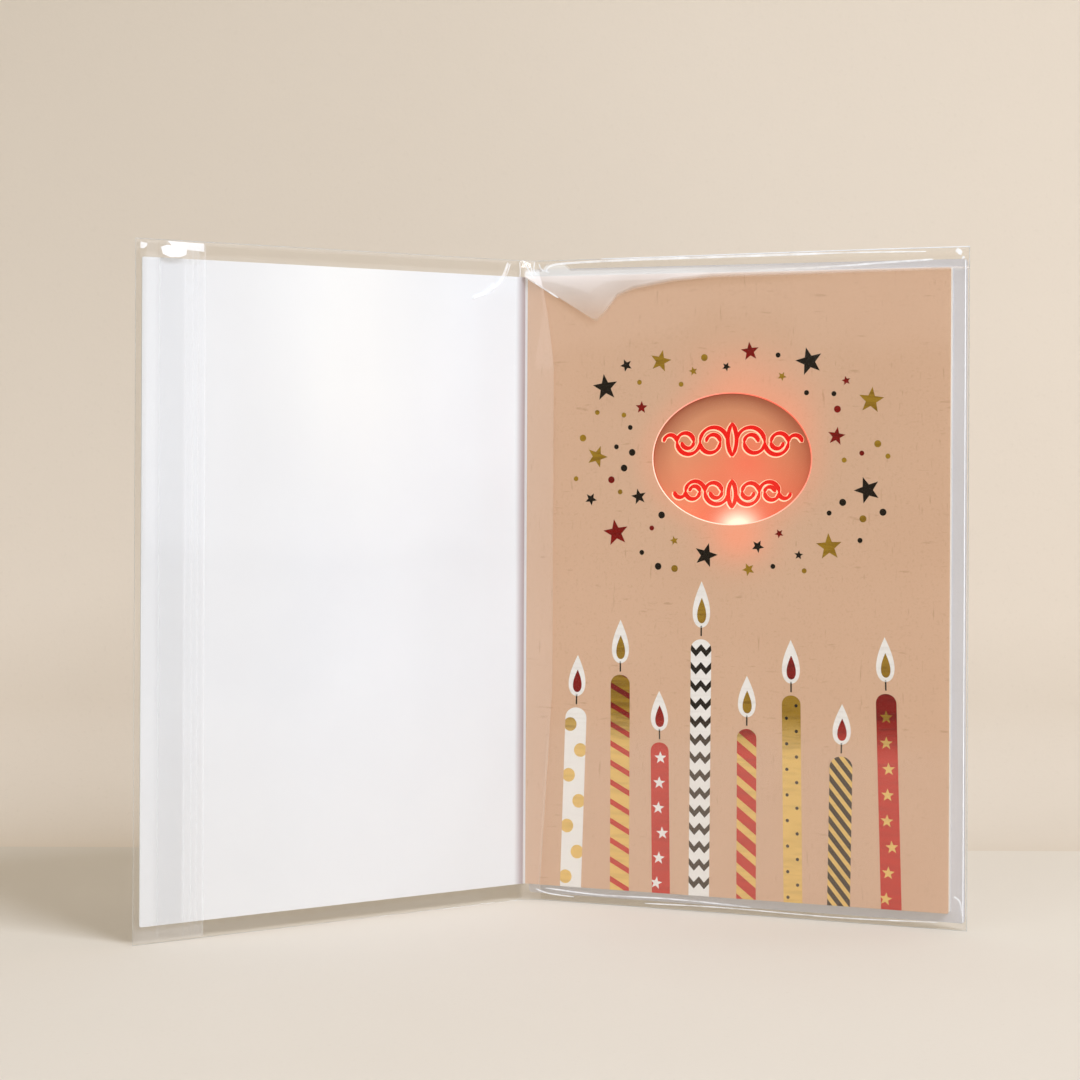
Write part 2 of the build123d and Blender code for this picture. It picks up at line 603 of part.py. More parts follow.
with BuildPart() as envelope_flap:
    with BuildSketch(leaf_plane(RIGHT, ENVELOPE_BACK)) as flap_outline:
        with BuildLine():
            Polyline(
                (ENVELOPE_RIGHT, ENVELOPE_BOTTOM + ENVELOPE_CORNER),
                (ENVELOPE_RIGHT, ENVELOPE_TOP - ENVELOPE_CORNER),
                (ENVELOPE_RIGHT - FLAP_DEPTH, middle(*envelope_span_z) + FLAP_TIP / 2),
                (ENVELOPE_RIGHT - FLAP_DEPTH, middle(*envelope_span_z) - FLAP_TIP / 2),
                close=True,
            )
        make_face()
        fillet(flap_outline.vertices().group_by(Axis.X)[NEAR_END], radius=FLAP_ROUNDING)
    extrude(amount=ENVELOPE_PAPER)
envelope_flap.part.label = "envelope_flap"
export_step(envelope_flap.part, "parts/envelope_flap.step")


# Film bag: four plies that meet in welded seams, the film round the fold, and the flap
def rectangle(span_x, span_z, reach=0.0):
    """Rectangle in the sketch at hand, made longer by reach toward the fold."""
    left, right = span_x
    if left > 0:
        left -= reach
    else:
        right += reach
    with Locations((middle(left, right), middle(*span_z))):
        Rectangle(right - left, span_z[1] - span_z[0])


def film_ply(turn, flat_level, seam_level, outward, flat, rim, edge):
    """One ply: a flat panel whose margins slope to the seam, which is a flat welded band."""
    with BuildPart() as ply:
        with BuildSketch(leaf_plane(turn, seam_level)):
            rectangle(*edge)
        extrude(amount=-outward)
        with BuildSketch(leaf_plane(turn, seam_level + outward)):
            rectangle(*rim)
        with BuildSketch(leaf_plane(turn, flat_level + outward)):
            rectangle(*flat)
        loft(ruled=True)
        with BuildSketch(leaf_plane(turn, seam_level)):
            rectangle(*rim, OPEN_END_REACH)
        with BuildSketch(leaf_plane(turn, flat_level)):
            rectangle(*flat, OPEN_END_REACH)
        loft(ruled=True, mode=Mode.SUBTRACT)
    return ply


bag_height = (0, BAG_TOP)
rim_height = (SEAM_WIDTH, BAG_TOP - SEAM_WIDTH)
card_height = (CARD_BOTTOM - FLAT_MARGIN, CARD_TOP + FLAT_MARGIN)
envelope_height = (ENVELOPE_BOTTOM - FLAT_MARGIN, ENVELOPE_TOP + FLAT_MARGIN)

right_end = ENVELOPE_RIGHT + BAG_END_RIGHT
right_seam = middle(0, ENVELOPE_BACK)
right_edge = ((SPINE_REACH, right_end), bag_height)
right_rim = ((SPINE_REACH, right_end - END_SEAM), rim_height)

bag_front_right = film_ply(
    RIGHT, 0, right_seam, -FILM,
    ((SPINE_REACH, CARD_WIDTH + FLAT_MARGIN), card_height), right_rim, right_edge,
)
bag_front_right.part.label = "bag_front_right"
export_step(bag_front_right.part, "parts/bag_front_right.step")

bag_back_right = film_ply(
    RIGHT, ENVELOPE_BACK, right_seam, FILM,
    ((SPINE_REACH, ENVELOPE_RIGHT + END_MARGIN), envelope_height), right_rim, right_edge,
)
bag_back_right.part.label = "bag_back_right"
export_step(bag_back_right.part, "parts/bag_back_right.step")

left_end = CARD_WIDTH + BAG_END_LEFT
left_seam = middle(0, COVER_THICKNESS)
left_edge = ((-left_end, -SPINE_REACH), bag_height)
left_rim = ((-left_end + END_SEAM, -SPINE_REACH), rim_height)
left_flat = ((-CARD_WIDTH - FLAT_MARGIN, -SPINE_REACH), card_height)

bag_front_left = film_ply(LEFT, 0, left_seam, -FILM, left_flat, left_rim, left_edge)
bag_front_left.part.label = "bag_front_left"
export_step(bag_front_left.part, "parts/bag_front_left.step")

bag_back_left = film_ply(
    LEFT, COVER_THICKNESS, left_seam, FILM, left_flat, left_rim, left_edge
)
bag_back_left.part.label = "bag_back_left"
export_step(bag_back_left.part, "parts/bag_back_left.step")

# Film that crosses the fold: it bridges the gutter in front and wraps the spine behind
spine_end = SPINE_REACH - FILM
bag_spine_front = ribbon(
    [spot(RIGHT, spine_end, -FILM / 2), spot(LEFT, -spine_end, -FILM / 2)],
    FILM, 0, BAG_TOP,
)
bag_spine_front.part.label = "bag_spine_front"
export_step(bag_spine_front.part, "parts/bag_spine_front.step")

bag_spine_back = ribbon(
    [
        spot(RIGHT, spine_end, ENVELOPE_BACK + FILM / 2),
        spot(RIGHT, -SPINE_SLACK, ENVELOPE_BACK + FILM / 2),
        spot(LEFT, -spine_end, COVER_THICKNESS + FILM / 2),
    ],
    FILM, 0, BAG_TOP,
)
bag_spine_back.part.label = "bag_spine_back"
export_step(bag_spine_back.part, "parts/bag_spine_back.step")

# Self-seal flap, folded over the front at the open end, with its strip of adhesive
flap_span_z = (BAG_FLAP_INSET, BAG_TOP - BAG_FLAP_INSET)
flap_end = -left_end + BAG_FLAP_WIDTH
bag_flap = layer(
    LEFT, -3 * FILM, -2 * FILM, (-left_end + FILM, flap_end), flap_span_z,
    BAG_FLAP_CORNER, (FAR_END,),
)
bag_flap.part.label = "bag_flap"
export_step(bag_flap.part, "parts/bag_flap.step")

adhesive_end = flap_end - ADHESIVE_INSET
flap_adhesive = layer(
    LEFT, -2 * FILM, -FILM, (adhesive_end - ADHESIVE_WIDTH, adhesive_end),
    (CARD_BOTTOM, CARD_TOP),
)
flap_adhesive.part.label = "flap_adhesive"
export_step(flap_adhesive.part, "parts/flap_adhesive.step")
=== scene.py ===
# %% [markdown]
# This lesson dresses a light-up greeting card that stands open in its clear film bag.
# The card has a plain white cover on the left and a tan printed leaf on the right, with
# an oval window whose clear plate is lit in red from below.
# The solids come from the packed model. We only read them, measure them and give them
# finishes, and we add what no solid shows: foil print, film that isn't quite flat, glow.

import json
import math
import random

import bmesh
import bpy
from mathutils import Matrix, Vector, noise


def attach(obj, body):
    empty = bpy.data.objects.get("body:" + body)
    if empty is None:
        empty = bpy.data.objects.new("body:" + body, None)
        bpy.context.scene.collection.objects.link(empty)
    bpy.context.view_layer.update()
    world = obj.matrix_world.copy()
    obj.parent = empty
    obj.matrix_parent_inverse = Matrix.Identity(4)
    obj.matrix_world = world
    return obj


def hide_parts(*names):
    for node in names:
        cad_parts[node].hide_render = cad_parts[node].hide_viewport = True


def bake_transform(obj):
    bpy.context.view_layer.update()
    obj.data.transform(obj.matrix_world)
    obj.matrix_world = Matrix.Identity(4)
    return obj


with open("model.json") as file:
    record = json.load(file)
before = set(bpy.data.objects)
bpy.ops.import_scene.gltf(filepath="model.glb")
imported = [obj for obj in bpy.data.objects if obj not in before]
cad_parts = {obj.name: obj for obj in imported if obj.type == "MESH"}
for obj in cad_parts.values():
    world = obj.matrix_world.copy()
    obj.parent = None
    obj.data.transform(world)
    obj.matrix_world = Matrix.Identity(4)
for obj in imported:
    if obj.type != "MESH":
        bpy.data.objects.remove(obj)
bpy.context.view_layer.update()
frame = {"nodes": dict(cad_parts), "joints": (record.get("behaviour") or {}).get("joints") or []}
nodes = frame["nodes"]
joints = {joint["name"]: joint for joint in frame["joints"]}
print("nodes:", len(nodes), "joints:", sorted(joints))

# %% [markdown]
# Everything on the card lies flat on one of its two leaves. So we make a small ruler for
# each leaf: x runs from the fold outwards, z runs up, and "proud" is how far a point
# stands in front of the leaf's inner face. All three are in millimetres, which suits
# print and film better than metres. The direction of the right leaf is the direction in
# which the model's pull tab slides, and the left leaf is its mirror image.

# %% A ruler for each leaf
MM = 0.001
UP = Vector((0, 0, 1))
FOLD = Vector(joints["cover_fold"]["pos_m"])


class Leaf:
    """One leaf of the card, measured from the fold."""

    def __init__(self, along, facing):
        self.along = along.normalized()
        self.facing = facing.normalized()

    def point(self, x, z, proud=0.0):
        return FOLD + (self.along * x + self.facing * proud + UP * z) * MM

    def span(self, name):
        """Lowest and highest x, z and proud of a solid on this leaf."""
        corners = [vertex.co - FOLD for vertex in nodes[name].data.vertices]
        rows = [(c.dot(self.along) / MM, c.z / MM, c.dot(self.facing) / MM) for c in corners]
        return [(min(column), max(column)) for column in zip(*rows)]


right_way = Vector(joints["tab_slide"]["axis"])
right = Leaf(right_way, right_way.cross(UP))
left = Leaf(
    Vector((-right.along.x, right.along.y, 0)), Vector((-right.facing.x, right.facing.y, 0))
)
face_x, (CARD_FOOT, CARD_HEAD), _ = right.span("printed_face")
CARD_WIDTH = face_x[1]
bag_right_x, bag_z, bag_right_proud = right.span("bag_back_right")
bag_left_x, _, bag_left_proud = left.span("bag_back_left")
BAG_HEAD = bag_z[1]
print("card", round(CARD_WIDTH, 2), "x", round(CARD_HEAD - CARD_FOOT, 2), "mm")
print("bag ends", round(bag_left_x[1], 2), round(bag_right_x[1], 2), "mm from the fold")

# %% [markdown]
# The camera comes next, because it decides what the eye sees of each finish. In the
# photograph upright edges stay upright, so the camera looks level, and the card sits
# above the middle of the picture only because the picture was framed lower. That is
# what shift_y does. A lens of about 90 mm at 0.8 m gives the same mild perspective.

# %% Camera
CAMERA_PLACE = (-0.0920, -0.7832, 0.1301)
CAMERA_TURN = -7.0
CAMERA_ROLL = 0.25
LENS = 89.6
FRAME_SHIFT = -0.0778

camera = bpy.data.objects.new("camera", bpy.data.cameras.new("camera"))
camera.data.lens = LENS
camera.data.sensor_width = 36.0
camera.data.shift_y = FRAME_SHIFT
camera.data.clip_start = 0.01
camera.matrix_world = (
    Matrix.Translation(CAMERA_PLACE)
    @ Matrix.Rotation(math.radians(CAMERA_TURN), 4, "Z")
    @ Matrix.Rotation(math.radians(90), 4, "X")
    @ Matrix.Rotation(math.radians(CAMERA_ROLL), 4, "Z")
)
bpy.context.scene.collection.objects.link(camera)
bpy.context.scene.camera = camera
bpy.context.scene.view_settings.view_transform = "Standard"
view_way = Matrix.Rotation(math.radians(CAMERA_TURN), 3, "Z") @ Vector((0, 1, 0))
side_way = view_way.cross(UP)
print("camera looks along", [round(v, 3) for v in view_way])

# %% [markdown]
# Finishes are written as sums. A Socket wraps the output of a node, so that
# 1 - mask * 0.5 adds the Math nodes for us. This keeps a finish short enough to read as
# a sentence.

# %% Sockets that can be written in sums
class Socket:
    """An output of a node. Sums with it add Math nodes."""

    def __init__(self, recipe, link):
        self.recipe = recipe
        self.link = link

    def maths(self, operation, first, second=0.0):
        settings = {"operation": operation}
        return self.recipe.add("Math", settings, {0: first, 1: second})

    def __add__(self, other):
        return self.maths("ADD", self, other)

    def __sub__(self, other):
        return self.maths("SUBTRACT", self, other)

    def __rsub__(self, other):
        return self.maths("SUBTRACT", other, self)

    def __mul__(self, other):
        return self.maths("MULTIPLY", self, other)

    def __truediv__(self, other):
        return self.maths("DIVIDE", self, other)

    def __pow__(self, other):
        return self.maths("POWER", self, other)

    __radd__ = __add__
    __rmul__ = __mul__

    def limited(self):
        return self.recipe.add("Clamp", {}, {"Value": self})

    def rising(self, start, reach):
        """0 up to the start, then a straight climb to 1 over the reach."""
        return ((self - start) / reach).limited()

    def falling(self, reach):
        """1 where the value is 0, falling off as a bell over the reach."""
        return self.recipe.add("Math", {"operation": "EXPONENT"}, {0: (self / reach) ** 2 * -1})


print("a Socket can be", [name for name in vars(Socket) if not name.startswith("_")])

# %% [markdown]
# A Recipe makes any other node in one call: its kind, its settings, and what goes into
# its sockets. It also holds what our finishes share: noise, the distance from the fold
# along a direction, bumps, and the shader that closes a finish.

# %% Recipes for materials
class Recipe:
    """A material written down node by node."""

    def __init__(self, name):
        self.material = bpy.data.materials.new(name)
        self.material.use_nodes = True
        self.tree = self.material.node_tree
        self.tree.nodes.clear()
        self.place = self.add("TexCoord", {}, {}, "Object")

    def add(self, kind, settings, sockets, out=0):
        node = self.tree.nodes.new("ShaderNode" + kind)
        for name, value in settings.items():
            if name == "stops":
                self.set_stops(node.color_ramp, value)
            else:
                setattr(node, name, value)
        for name, value in sockets.items():
            if isinstance(value, Socket):
                self.tree.links.new(value.link, node.inputs[name])
            else:
                node.inputs[name].default_value = value
        return Socket(self, node.outputs[out]) if node.outputs else None

    def set_stops(self, ramp, stops):
        while len(ramp.elements) < len(stops):
            ramp.elements.new(1.0)
        for element, (position, colour) in zip(ramp.elements, stops):
            element.position = position
            element.color = colour

    def mix(self, mask, first, second):
        """The first colour where the mask is 0, the second where it is 1."""
        settings = {"data_type": "RGBA"}
        return self.add("Mix", settings, {0: mask, 6: first, 7: second}, 2)

    def grain(self, scale, detail=2.0, stretch=(1, 1, 1)):
        """Noise from 0 to 1. A scale of 1000 gives patches about 1 mm wide."""
        spread = self.add("Mapping", {}, {"Vector": self.place, "Scale": stretch})
        sockets = {"Vector": spread, "Scale": scale, "Detail": detail}
        return self.add("TexNoise", {}, sockets, "Fac")

    def measure(self, way):
        """Millimetres from the fold along a direction."""
        sockets = {0: self.place, 1: tuple(way / MM)}
        return self.add("VectorMath", {"operation": "DOT_PRODUCT"}, sockets, "Value")

    def bumped(self, height, strength, depth):
        sockets = {"Height": height, "Strength": strength, "Distance": depth}
        return self.add("Bump", {}, sockets)

    def paint(self, **sockets):
        """Finish with one shader. Socket names are written with _ for the space."""
        named = {name.replace("_", " "): value for name, value in sockets.items()}
        self.close(self.add("BsdfPrincipled", {}, named))
        return self.material

    def close(self, shader):
        self.add("OutputMaterial", {}, {"Surface": shader})


def ink(red, green, blue):
    """A colour as a paint program names it, turned into light values."""
    parts = [value / 255 for value in (red, green, blue)]
    light = [p / 12.92 if p <= 0.04045 else ((p + 0.055) / 1.055) ** 2.4 for p in parts]
    return (*light, 1.0)


print("white is", ink(255, 255, 255), "and mid grey is", round(ink(128, 128, 128)[0], 3))

# %% [markdown]
# Card and paper are pressed fibres. Up close they show three things: a soft cloudiness,
# a fine tooth that catches the light, and here and there a longer fibre. One recipe
# makes them all, and each paper only names its colours and how strong its tooth is.

# %% Papers and cards
def fibres(recipe, scale):
    """Thin short hairs: noise squeezed along one way, and only its peaks."""
    lying = recipe.grain(scale, 3.0, (1.0, 1.0, 0.16))
    standing = recipe.grain(scale * 0.8, 3.0, (0.2, 0.2, 1.0))
    peaks = recipe.add("Math", {"operation": "MAXIMUM"}, {0: lying, 1: standing})
    return ((peaks - 0.66) * 9).limited()


def cover_tones_and_painted_light(recipe, base):
    """Slow drifts, then painted light: a sheen high up, shade on the outer side and in the fold,
    warm floor light at the foot.
    """
    from_fold = recipe.measure(left.along)
    height = recipe.measure(UP)
    drifts = recipe.grain(13, 1.0, (1.0, 1.0, 0.7))
    across = from_fold.rising(22, 34) * ((102 - from_fold) / 34).limited()
    foot = ((70 - height) / 70).limited()
    fold = ((3.6 - from_fold) / 3.0).limited() * ((from_fold - 0.35) * 4).limited()
    # Apart from the drifts, these masks paint light and shade into the card's colour.
    for mask, colour in (
        (((drifts - 0.42) * 5).limited() * 0.6, ink(224, 230, 238)),
        (height.rising(98, 50) * across * 0.7, ink(248, 252, 255)),
        (from_fold.rising(74, 22) * (height.rising(0, 180) * 0.26 + 0.06), ink(218, 220, 222)),
        (foot * 0.26, ink(236, 231, 222)),
        (fold, ink(178, 164, 172)),
    ):
        base = recipe.mix(mask, base, colour)
    return base


def paper(
    name, colour, cloud, fleck, tooth=0.25, roughness=0.62, coat=0.0, flecks=0.5, tones=None
):
    recipe = Recipe(name)
    patches = recipe.grain(38, 3.0)
    speckle = recipe.grain(1500, 2.0)
    base = recipe.mix(patches, cloud, colour)
    base = recipe.mix(((speckle - 0.58) * 5).limited() * flecks, base, fleck)
    base = recipe.mix(fibres(recipe, 900) * flecks, base, fleck)
    if tones:
        base = tones(recipe, base)
    relief = speckle * 0.6 + recipe.grain(4200, 1.0) * 0.4
    return recipe.paint(
        Base_Color=base,
        Roughness=patches * 0.12 + roughness,
        Normal=recipe.bumped(relief, tooth, 0.00003),
        Coat_Weight=coat,
        Coat_Roughness=0.18,
    )


papers = [
    paper(
        "white_card", ink(241, 247, 255), ink(235, 241, 250), ink(226, 230, 236),
        tooth=0.12, roughness=0.42, coat=0.25, flecks=0.10, tones=cover_tones_and_painted_light,
    ),
    paper(
        "envelope_paper", ink(226, 227, 233), ink(218, 219, 226), ink(200, 200, 206),
        tooth=0.30, roughness=0.70, flecks=0.25,
    ),
    paper("tan_paper", ink(222, 185, 153), ink(213, 174, 143), ink(184, 138, 104), flecks=0.55),
    paper(
        "spacer_board", ink(238, 234, 228), ink(228, 222, 214), ink(196, 188, 178),
        tooth=0.5, roughness=0.8,
    ),
]
print("papers:", [material.name for material in papers])

# %% [markdown]
# The printed leaf is tan kraft-like card. The lamp behind it shines through the window
# and reddens the card round it. A real halo is light, but it moves with the leaf and
# never with the eye, so we can write it into the card as a faint glow of its own: a
# bell round the window's rim, stronger over its top, its right and under the lamp.

# %% Tan card with the red halo
window_x, window_z, _ = right.span("backing_sheet")
WINDOW_MIDDLE = (sum(window_x) / 2, sum(window_z) / 2)
WINDOW_HALF = (23.8, 18.75)
lens_x, lens_z, _ = right.span("led_lens")
LAMP = (sum(lens_x) / 2, lens_z[1])
print("window middle", WINDOW_MIDDLE, "lamp", LAMP)
RIM_HALO = (4.5, 0.24)  # reach round the window's rim, strength
HALOS = [
    # middle (x, z), wide, reach, strength
    (66.5, 152.0, 1.5, 9.0, 0.42),
    (82.0, 143.0, 1.0, 9.0, 0.30),
    (65.5, 106.5, 1.3, 7.0, 0.75),
]


def reach_from(recipe, x, z, wide=1.0, high=1.0):
    """Millimetres on the right leaf from a point, wide and high stretching the circle."""
    run = (recipe.measure(right.along) - x) / wide
    rise = (recipe.measure(UP) - z) / high
    return (run ** 2 + rise ** 2) ** 0.5


def lit_card():
    recipe = Recipe("tan_card")
    cloudy = recipe.grain(30, 3.0)
    speckle = recipe.grain(1300, 2.0)
    rim_reach = (reach_from(recipe, *WINDOW_MIDDLE, *WINDOW_HALF) - 1) * sum(WINDOW_HALF) / 2
    halo = rim_reach.falling(RIM_HALO[0]) * RIM_HALO[1]
    for x, z, wide, reach, strength in HALOS:
        halo += reach_from(recipe, x, z, wide).falling(reach) * strength
    halo = halo.limited()
    base = recipe.mix(cloudy, ink(225, 186, 156), ink(231, 194, 165))
    base = recipe.mix(speckle.rising(0.55, 0.2) * 0.34, base, ink(206, 166, 132))
    base = recipe.mix(fibres(recipe, 1050) * 0.46, base, ink(184, 138, 102))
    # The halo reddens the card's own colour as well as its glow: painted light.
    return recipe.paint(
        Base_Color=recipe.mix(halo * 0.6, base, ink(226, 156, 118)),
        Roughness=cloudy * 0.1 + 0.55,
        Normal=recipe.bumped(speckle * 0.7 + recipe.grain(4000, 1.0) * 0.3, 0.12, 0.00002),
        Emission_Color=recipe.mix(halo, ink(0, 0, 0), ink(255, 96, 72)),
        Emission_Strength=0.36,
    )


tan_card = lit_card()

# %% [markdown]
# The light plate is a clear sheet with tan paper behind it. Its lower edge takes in the
# lamp's light. Where the light enters it is white hot, then it turns salmon and fades
# upwards, and the top stays the brown of shaded paper. An opaque finish with these
# colours reads the same as clear plastic over paper, and stays clean in every view.
# This light is painted into both the glow and the paper's colour, and the paper's colour
# also carries painted shade: darker on the right and under the window's top rim.

# %% The lit plate
LIGHT_ENTRY = (LAMP[0], 109.5)
HOT_REACH, WARM_REACH, FAR_REACH = 4.6, 20.0, 30.0


def lit_plate():
    recipe = Recipe("clear_acrylic")
    x = recipe.measure(right.along)
    z = recipe.measure(UP)
    from_lamp = reach_from(recipe, *LIGHT_ENTRY, 1.15)
    hot = from_lamp.falling(HOT_REACH)
    warm = (from_lamp.falling(WARM_REACH) * 1.25).limited()
    far = from_lamp.falling(FAR_REACH)
    plume = reach_from(recipe, 67.0, 124.0, 0.8, 1.3).falling(9.0)
    glow = recipe.mix(far.limited(), ink(52, 14, 6), ink(184, 66, 40))
    glow = recipe.mix(warm, glow, ink(255, 108, 80))
    glow = recipe.mix(plume * 0.4, glow, ink(255, 178, 140))
    painted_red_glow = reach_from(recipe, 68.0, 129.0).falling(7.0) * 0.5
    glow = recipe.mix(painted_red_glow, glow, ink(255, 96, 72))
    glow = recipe.mix((hot * 1.5).limited(), glow, ink(255, 246, 226))

    cloudy = recipe.grain(60, 2.0)
    from_middle = reach_from(recipe, *WINDOW_MIDDLE, *WINDOW_HALF)
    left_side = ((WINDOW_MIDDLE[0] - 3.0 - x) / 10).limited()
    rightward = x.rising(70.0, 18)
    painted_right_shade = rightward * (from_middle * 2 - 0.9).limited()
    painted_rim_shadow = from_middle.rising(0.74, 0.25) * z.rising(116.0, 20)
    # Paper under the plate: painted light near the lamp, painted shade on the right and under the
    # top rim.
    base = recipe.mix(cloudy, ink(206, 151, 112), ink(214, 159, 118))
    base = recipe.mix(warm, base, ink(172, 88, 60))
    base = recipe.mix(painted_red_glow, base, ink(190, 60, 40))
    base = recipe.mix(left_side * 0.35, base, ink(214, 168, 130))
    base = recipe.mix(painted_right_shade * 0.5, base, ink(150, 72, 44))
    base = recipe.mix((hot * 1.2).limited(), base, ink(255, 226, 200))
    return recipe.paint(
        Base_Color=recipe.mix(painted_rim_shadow * (0.8 - rightward * 0.4), base, ink(146, 80, 50)),
        Roughness=cloudy * 0.05 + 0.10,
        Emission_Color=glow,
        Emission_Strength=0.62,
        Coat_Weight=0.6,
        Coat_Roughness=0.05,
        Normal=recipe.bumped(recipe.grain(220, 2.0), 0.06, 0.0001),
    )


clear_acrylic = lit_plate()
print("glow finishes:", tan_card.name, clear_acrylic.name)

# %% [markdown]
# Behind the printed leaf sit the lamp, its board, a coin cell and the pull switch. They
# are only seen when the model is taken apart, yet each keeps a finish of its own:
# solder mask with its woven glass, brushed steel, spring strip, resin, foam and wire.

# %% Metals, plastics and boards
def metal(name, colour, worn, roughness, brush=(1, 1, 14), scale=180):
    recipe = Recipe(name)
    strokes = recipe.grain(scale, 4.0, brush)
    stains = recipe.grain(90, 3.0)
    return recipe.paint(
        Base_Color=recipe.mix(stains, colour, worn),
        Metallic=1.0,
        Roughness=strokes * 0.22 + roughness,
        Normal=recipe.bumped(strokes, 0.12, 0.00004),
    )


def plastic(name, colour, worn, roughness, coat):
    recipe = Recipe(name)
    skin = recipe.grain(700, 2.0)
    stains = recipe.grain(70, 3.0)
    return recipe.paint(
        Base_Color=recipe.mix(stains, colour, worn),
        Roughness=skin * 0.15 + roughness,
        Normal=recipe.bumped(skin, 0.12, 0.00004),
        Coat_Weight=coat,
        Coat_Roughness=0.1,
    )

# %% [markdown]
# Three things need a recipe of their own: the board with its tracks under green solder
# mask, the foam tape with its cells, and the lamp's lens, which glows.

# %% Board, foam and lens
def board():
    recipe = Recipe("circuit_board")
    weave = recipe.add(
        "TexWave", {"wave_type": "BANDS"}, {"Vector": recipe.place, "Scale": 900.0}, "Fac"
    )
    tracks = recipe.add(
        "TexBrick", {},
        {"Vector": recipe.place, "Scale": 160.0, "Mortar Size": 0.018}, "Fac",
    )
    base = recipe.mix(recipe.grain(50), ink(24, 92, 54), ink(30, 104, 62))
    base = recipe.mix(tracks * 0.5, base, ink(52, 138, 84))
    return recipe.paint(
        Base_Color=base,
        Roughness=weave * 0.08 + 0.32,
        Normal=recipe.bumped(weave + tracks * 0.5, 0.15, 0.00003),
        Coat_Weight=0.4,
        Coat_Roughness=0.15,
    )


def foam():
    recipe = Recipe("foam_tape")
    cells = recipe.add(
        "TexVoronoi", {}, {"Vector": recipe.place, "Scale": 2600.0}, "Distance"
    )
    return recipe.paint(
        Base_Color=recipe.mix(cells, ink(226, 224, 218), ink(246, 245, 241)),
        Roughness=0.9,
        Normal=recipe.bumped(cells, 0.5, 0.00005),
    )


def lamp_glass():
    recipe = Recipe("lamp_lens")
    skin = recipe.grain(900, 2.0)
    return recipe.paint(
        Base_Color=recipe.mix(skin, ink(250, 214, 200), ink(255, 226, 214)),
        Roughness=skin * 0.1 + 0.12,
        Emission_Color=recipe.mix(skin, ink(255, 90, 66), ink(255, 140, 112)),
        Emission_Strength=2.0,
        Normal=recipe.bumped(skin, 0.05, 0.00002),
    )

# %% [markdown]
# All other finishes are rows in two tables. The packed model names a material for each
# solid, and each finish here bears the name that it stands for.

# %% Table of finishes
PLASTICS = [
    # name, colour, worn colour, roughness, coat
    ("lamp_housing", ink(240, 238, 232), ink(230, 227, 219), 0.4, 0.0),
    ("black_resin", ink(24, 24, 26), ink(34, 33, 34), 0.3, 0.5),
    ("resistor_body", ink(30, 30, 34), ink(40, 40, 44), 0.45, 0.0),
    ("red_insulation", ink(190, 26, 24), ink(170, 20, 20), 0.4, 0.0),
    ("black_insulation", ink(26, 26, 28), ink(36, 36, 38), 0.4, 0.0),
    ("guide_plastic", ink(236, 236, 232), ink(226, 226, 222), 0.5, 0.0),
]
METALS = [
    # name, colour, worn colour, roughness
    ("cell_steel", ink(198, 199, 202), ink(176, 176, 180), 0.2),
    ("spring_strip", ink(206, 204, 200), ink(188, 184, 178), 0.18),
    ("gold_pad", ink(214, 172, 92), ink(196, 152, 76), 0.22),
    ("rivet_brass", ink(200, 160, 84), ink(178, 138, 66), 0.25),
]
made = [plastic(*row) for row in PLASTICS] + [metal(*row) for row in METALS]
made.append(metal("solder", ink(190, 192, 196), ink(166, 168, 172), 0.28, (1, 1, 1), 400))
made += [board(), foam(), lamp_glass(), tan_card, clear_acrylic, *papers]
finishes = {material.name.split(".")[0]: material for material in made}
print("finishes:", len(finishes))

# %% [markdown]
# Clear film is seen by its reflections: a few hundredths of the light bounce off when
# you look straight at it, and much more at a slant. So its finish mixes a see-through
# shader with a mirror-like one, by how steeply we look. Where film is welded it turns
# milky. The same milk value also carries painted reflection and sheen where the film
# curves or stands off the card, so every film mesh carries such a value per point.

# %% Clear film
def film(
    name, milk_and_sheen_tint, gloss=0.045, roughness=0.10, glare_mask=None,
    through=ink(253, 253, 253), mirrored=ink(238, 246, 255),
):
    recipe = Recipe(name)
    slant = recipe.add("LayerWeight", {}, {"Blend": 0.5}, "Facing")
    milk = recipe.add("Attribute", {"attribute_name": "milk"}, {}, "Fac")
    if glare_mask:
        painted_glare, milk_and_sheen_tint = glare_mask(recipe, milk_and_sheen_tint)
        milk = milk + painted_glare
    ripple = recipe.grain(45, 2.0, (1.0, 1.0, 0.35))
    mirror = (slant ** 5) * (0.85 - gloss) + gloss
    share = (mirror + milk * (ripple * 0.5 + 0.75)).limited()
    clear = recipe.add("BsdfTransparent", {}, {"Color": through})
    shine = recipe.add(
        "BsdfPrincipled", {},
        {
            "Base Color": recipe.mix(milk.limited(), mirrored, milk_and_sheen_tint),
            "Metallic": (mirror / (share + 0.001)).limited(),
            "Roughness": roughness,
            "Normal": recipe.bumped(ripple, 0.35, 0.0002),
        },
    )
    recipe.close(recipe.add("MixShader", {}, {0: share, 1: clear, 2: shine}))
    return recipe.material

# %% [markdown]
# Near the top of the fold the front film stands off the right leaf like a tent, and the
# tent shows a bright reflection. Its left edge is one straight crease, its lower edge is
# soft and runs on to the right, and above the card the reflection whitens the film over
# the envelope. This painted reflection is written into the front film's finish as a
# mask, on the same ruler as everything else.

# %% Tent of film, and the films themselves
TENT_EDGE = [
    # x, height of the tent's lower edge
    (0.0, 169.0), (22.3, 169.3), (24.5, 171.2), (26.3, 173.4), (28.6, 176.5), (33.7, 178.5),
    (46.0, 180.6), (57.5, 181.6), (132.0, 182.4),
]
TENT_END = TENT_EDGE[-1][0]
CREASE_SLOPE = 0.607
STRIP_HIGH, WEDGE_RISE = 2.4, 1.8  # milky strip above the card, and its rise by the fold
EDGE_DATUM, EDGE_ROOM = 160.0, 25.0  # a ramp holds heights as shares from 0 to 1


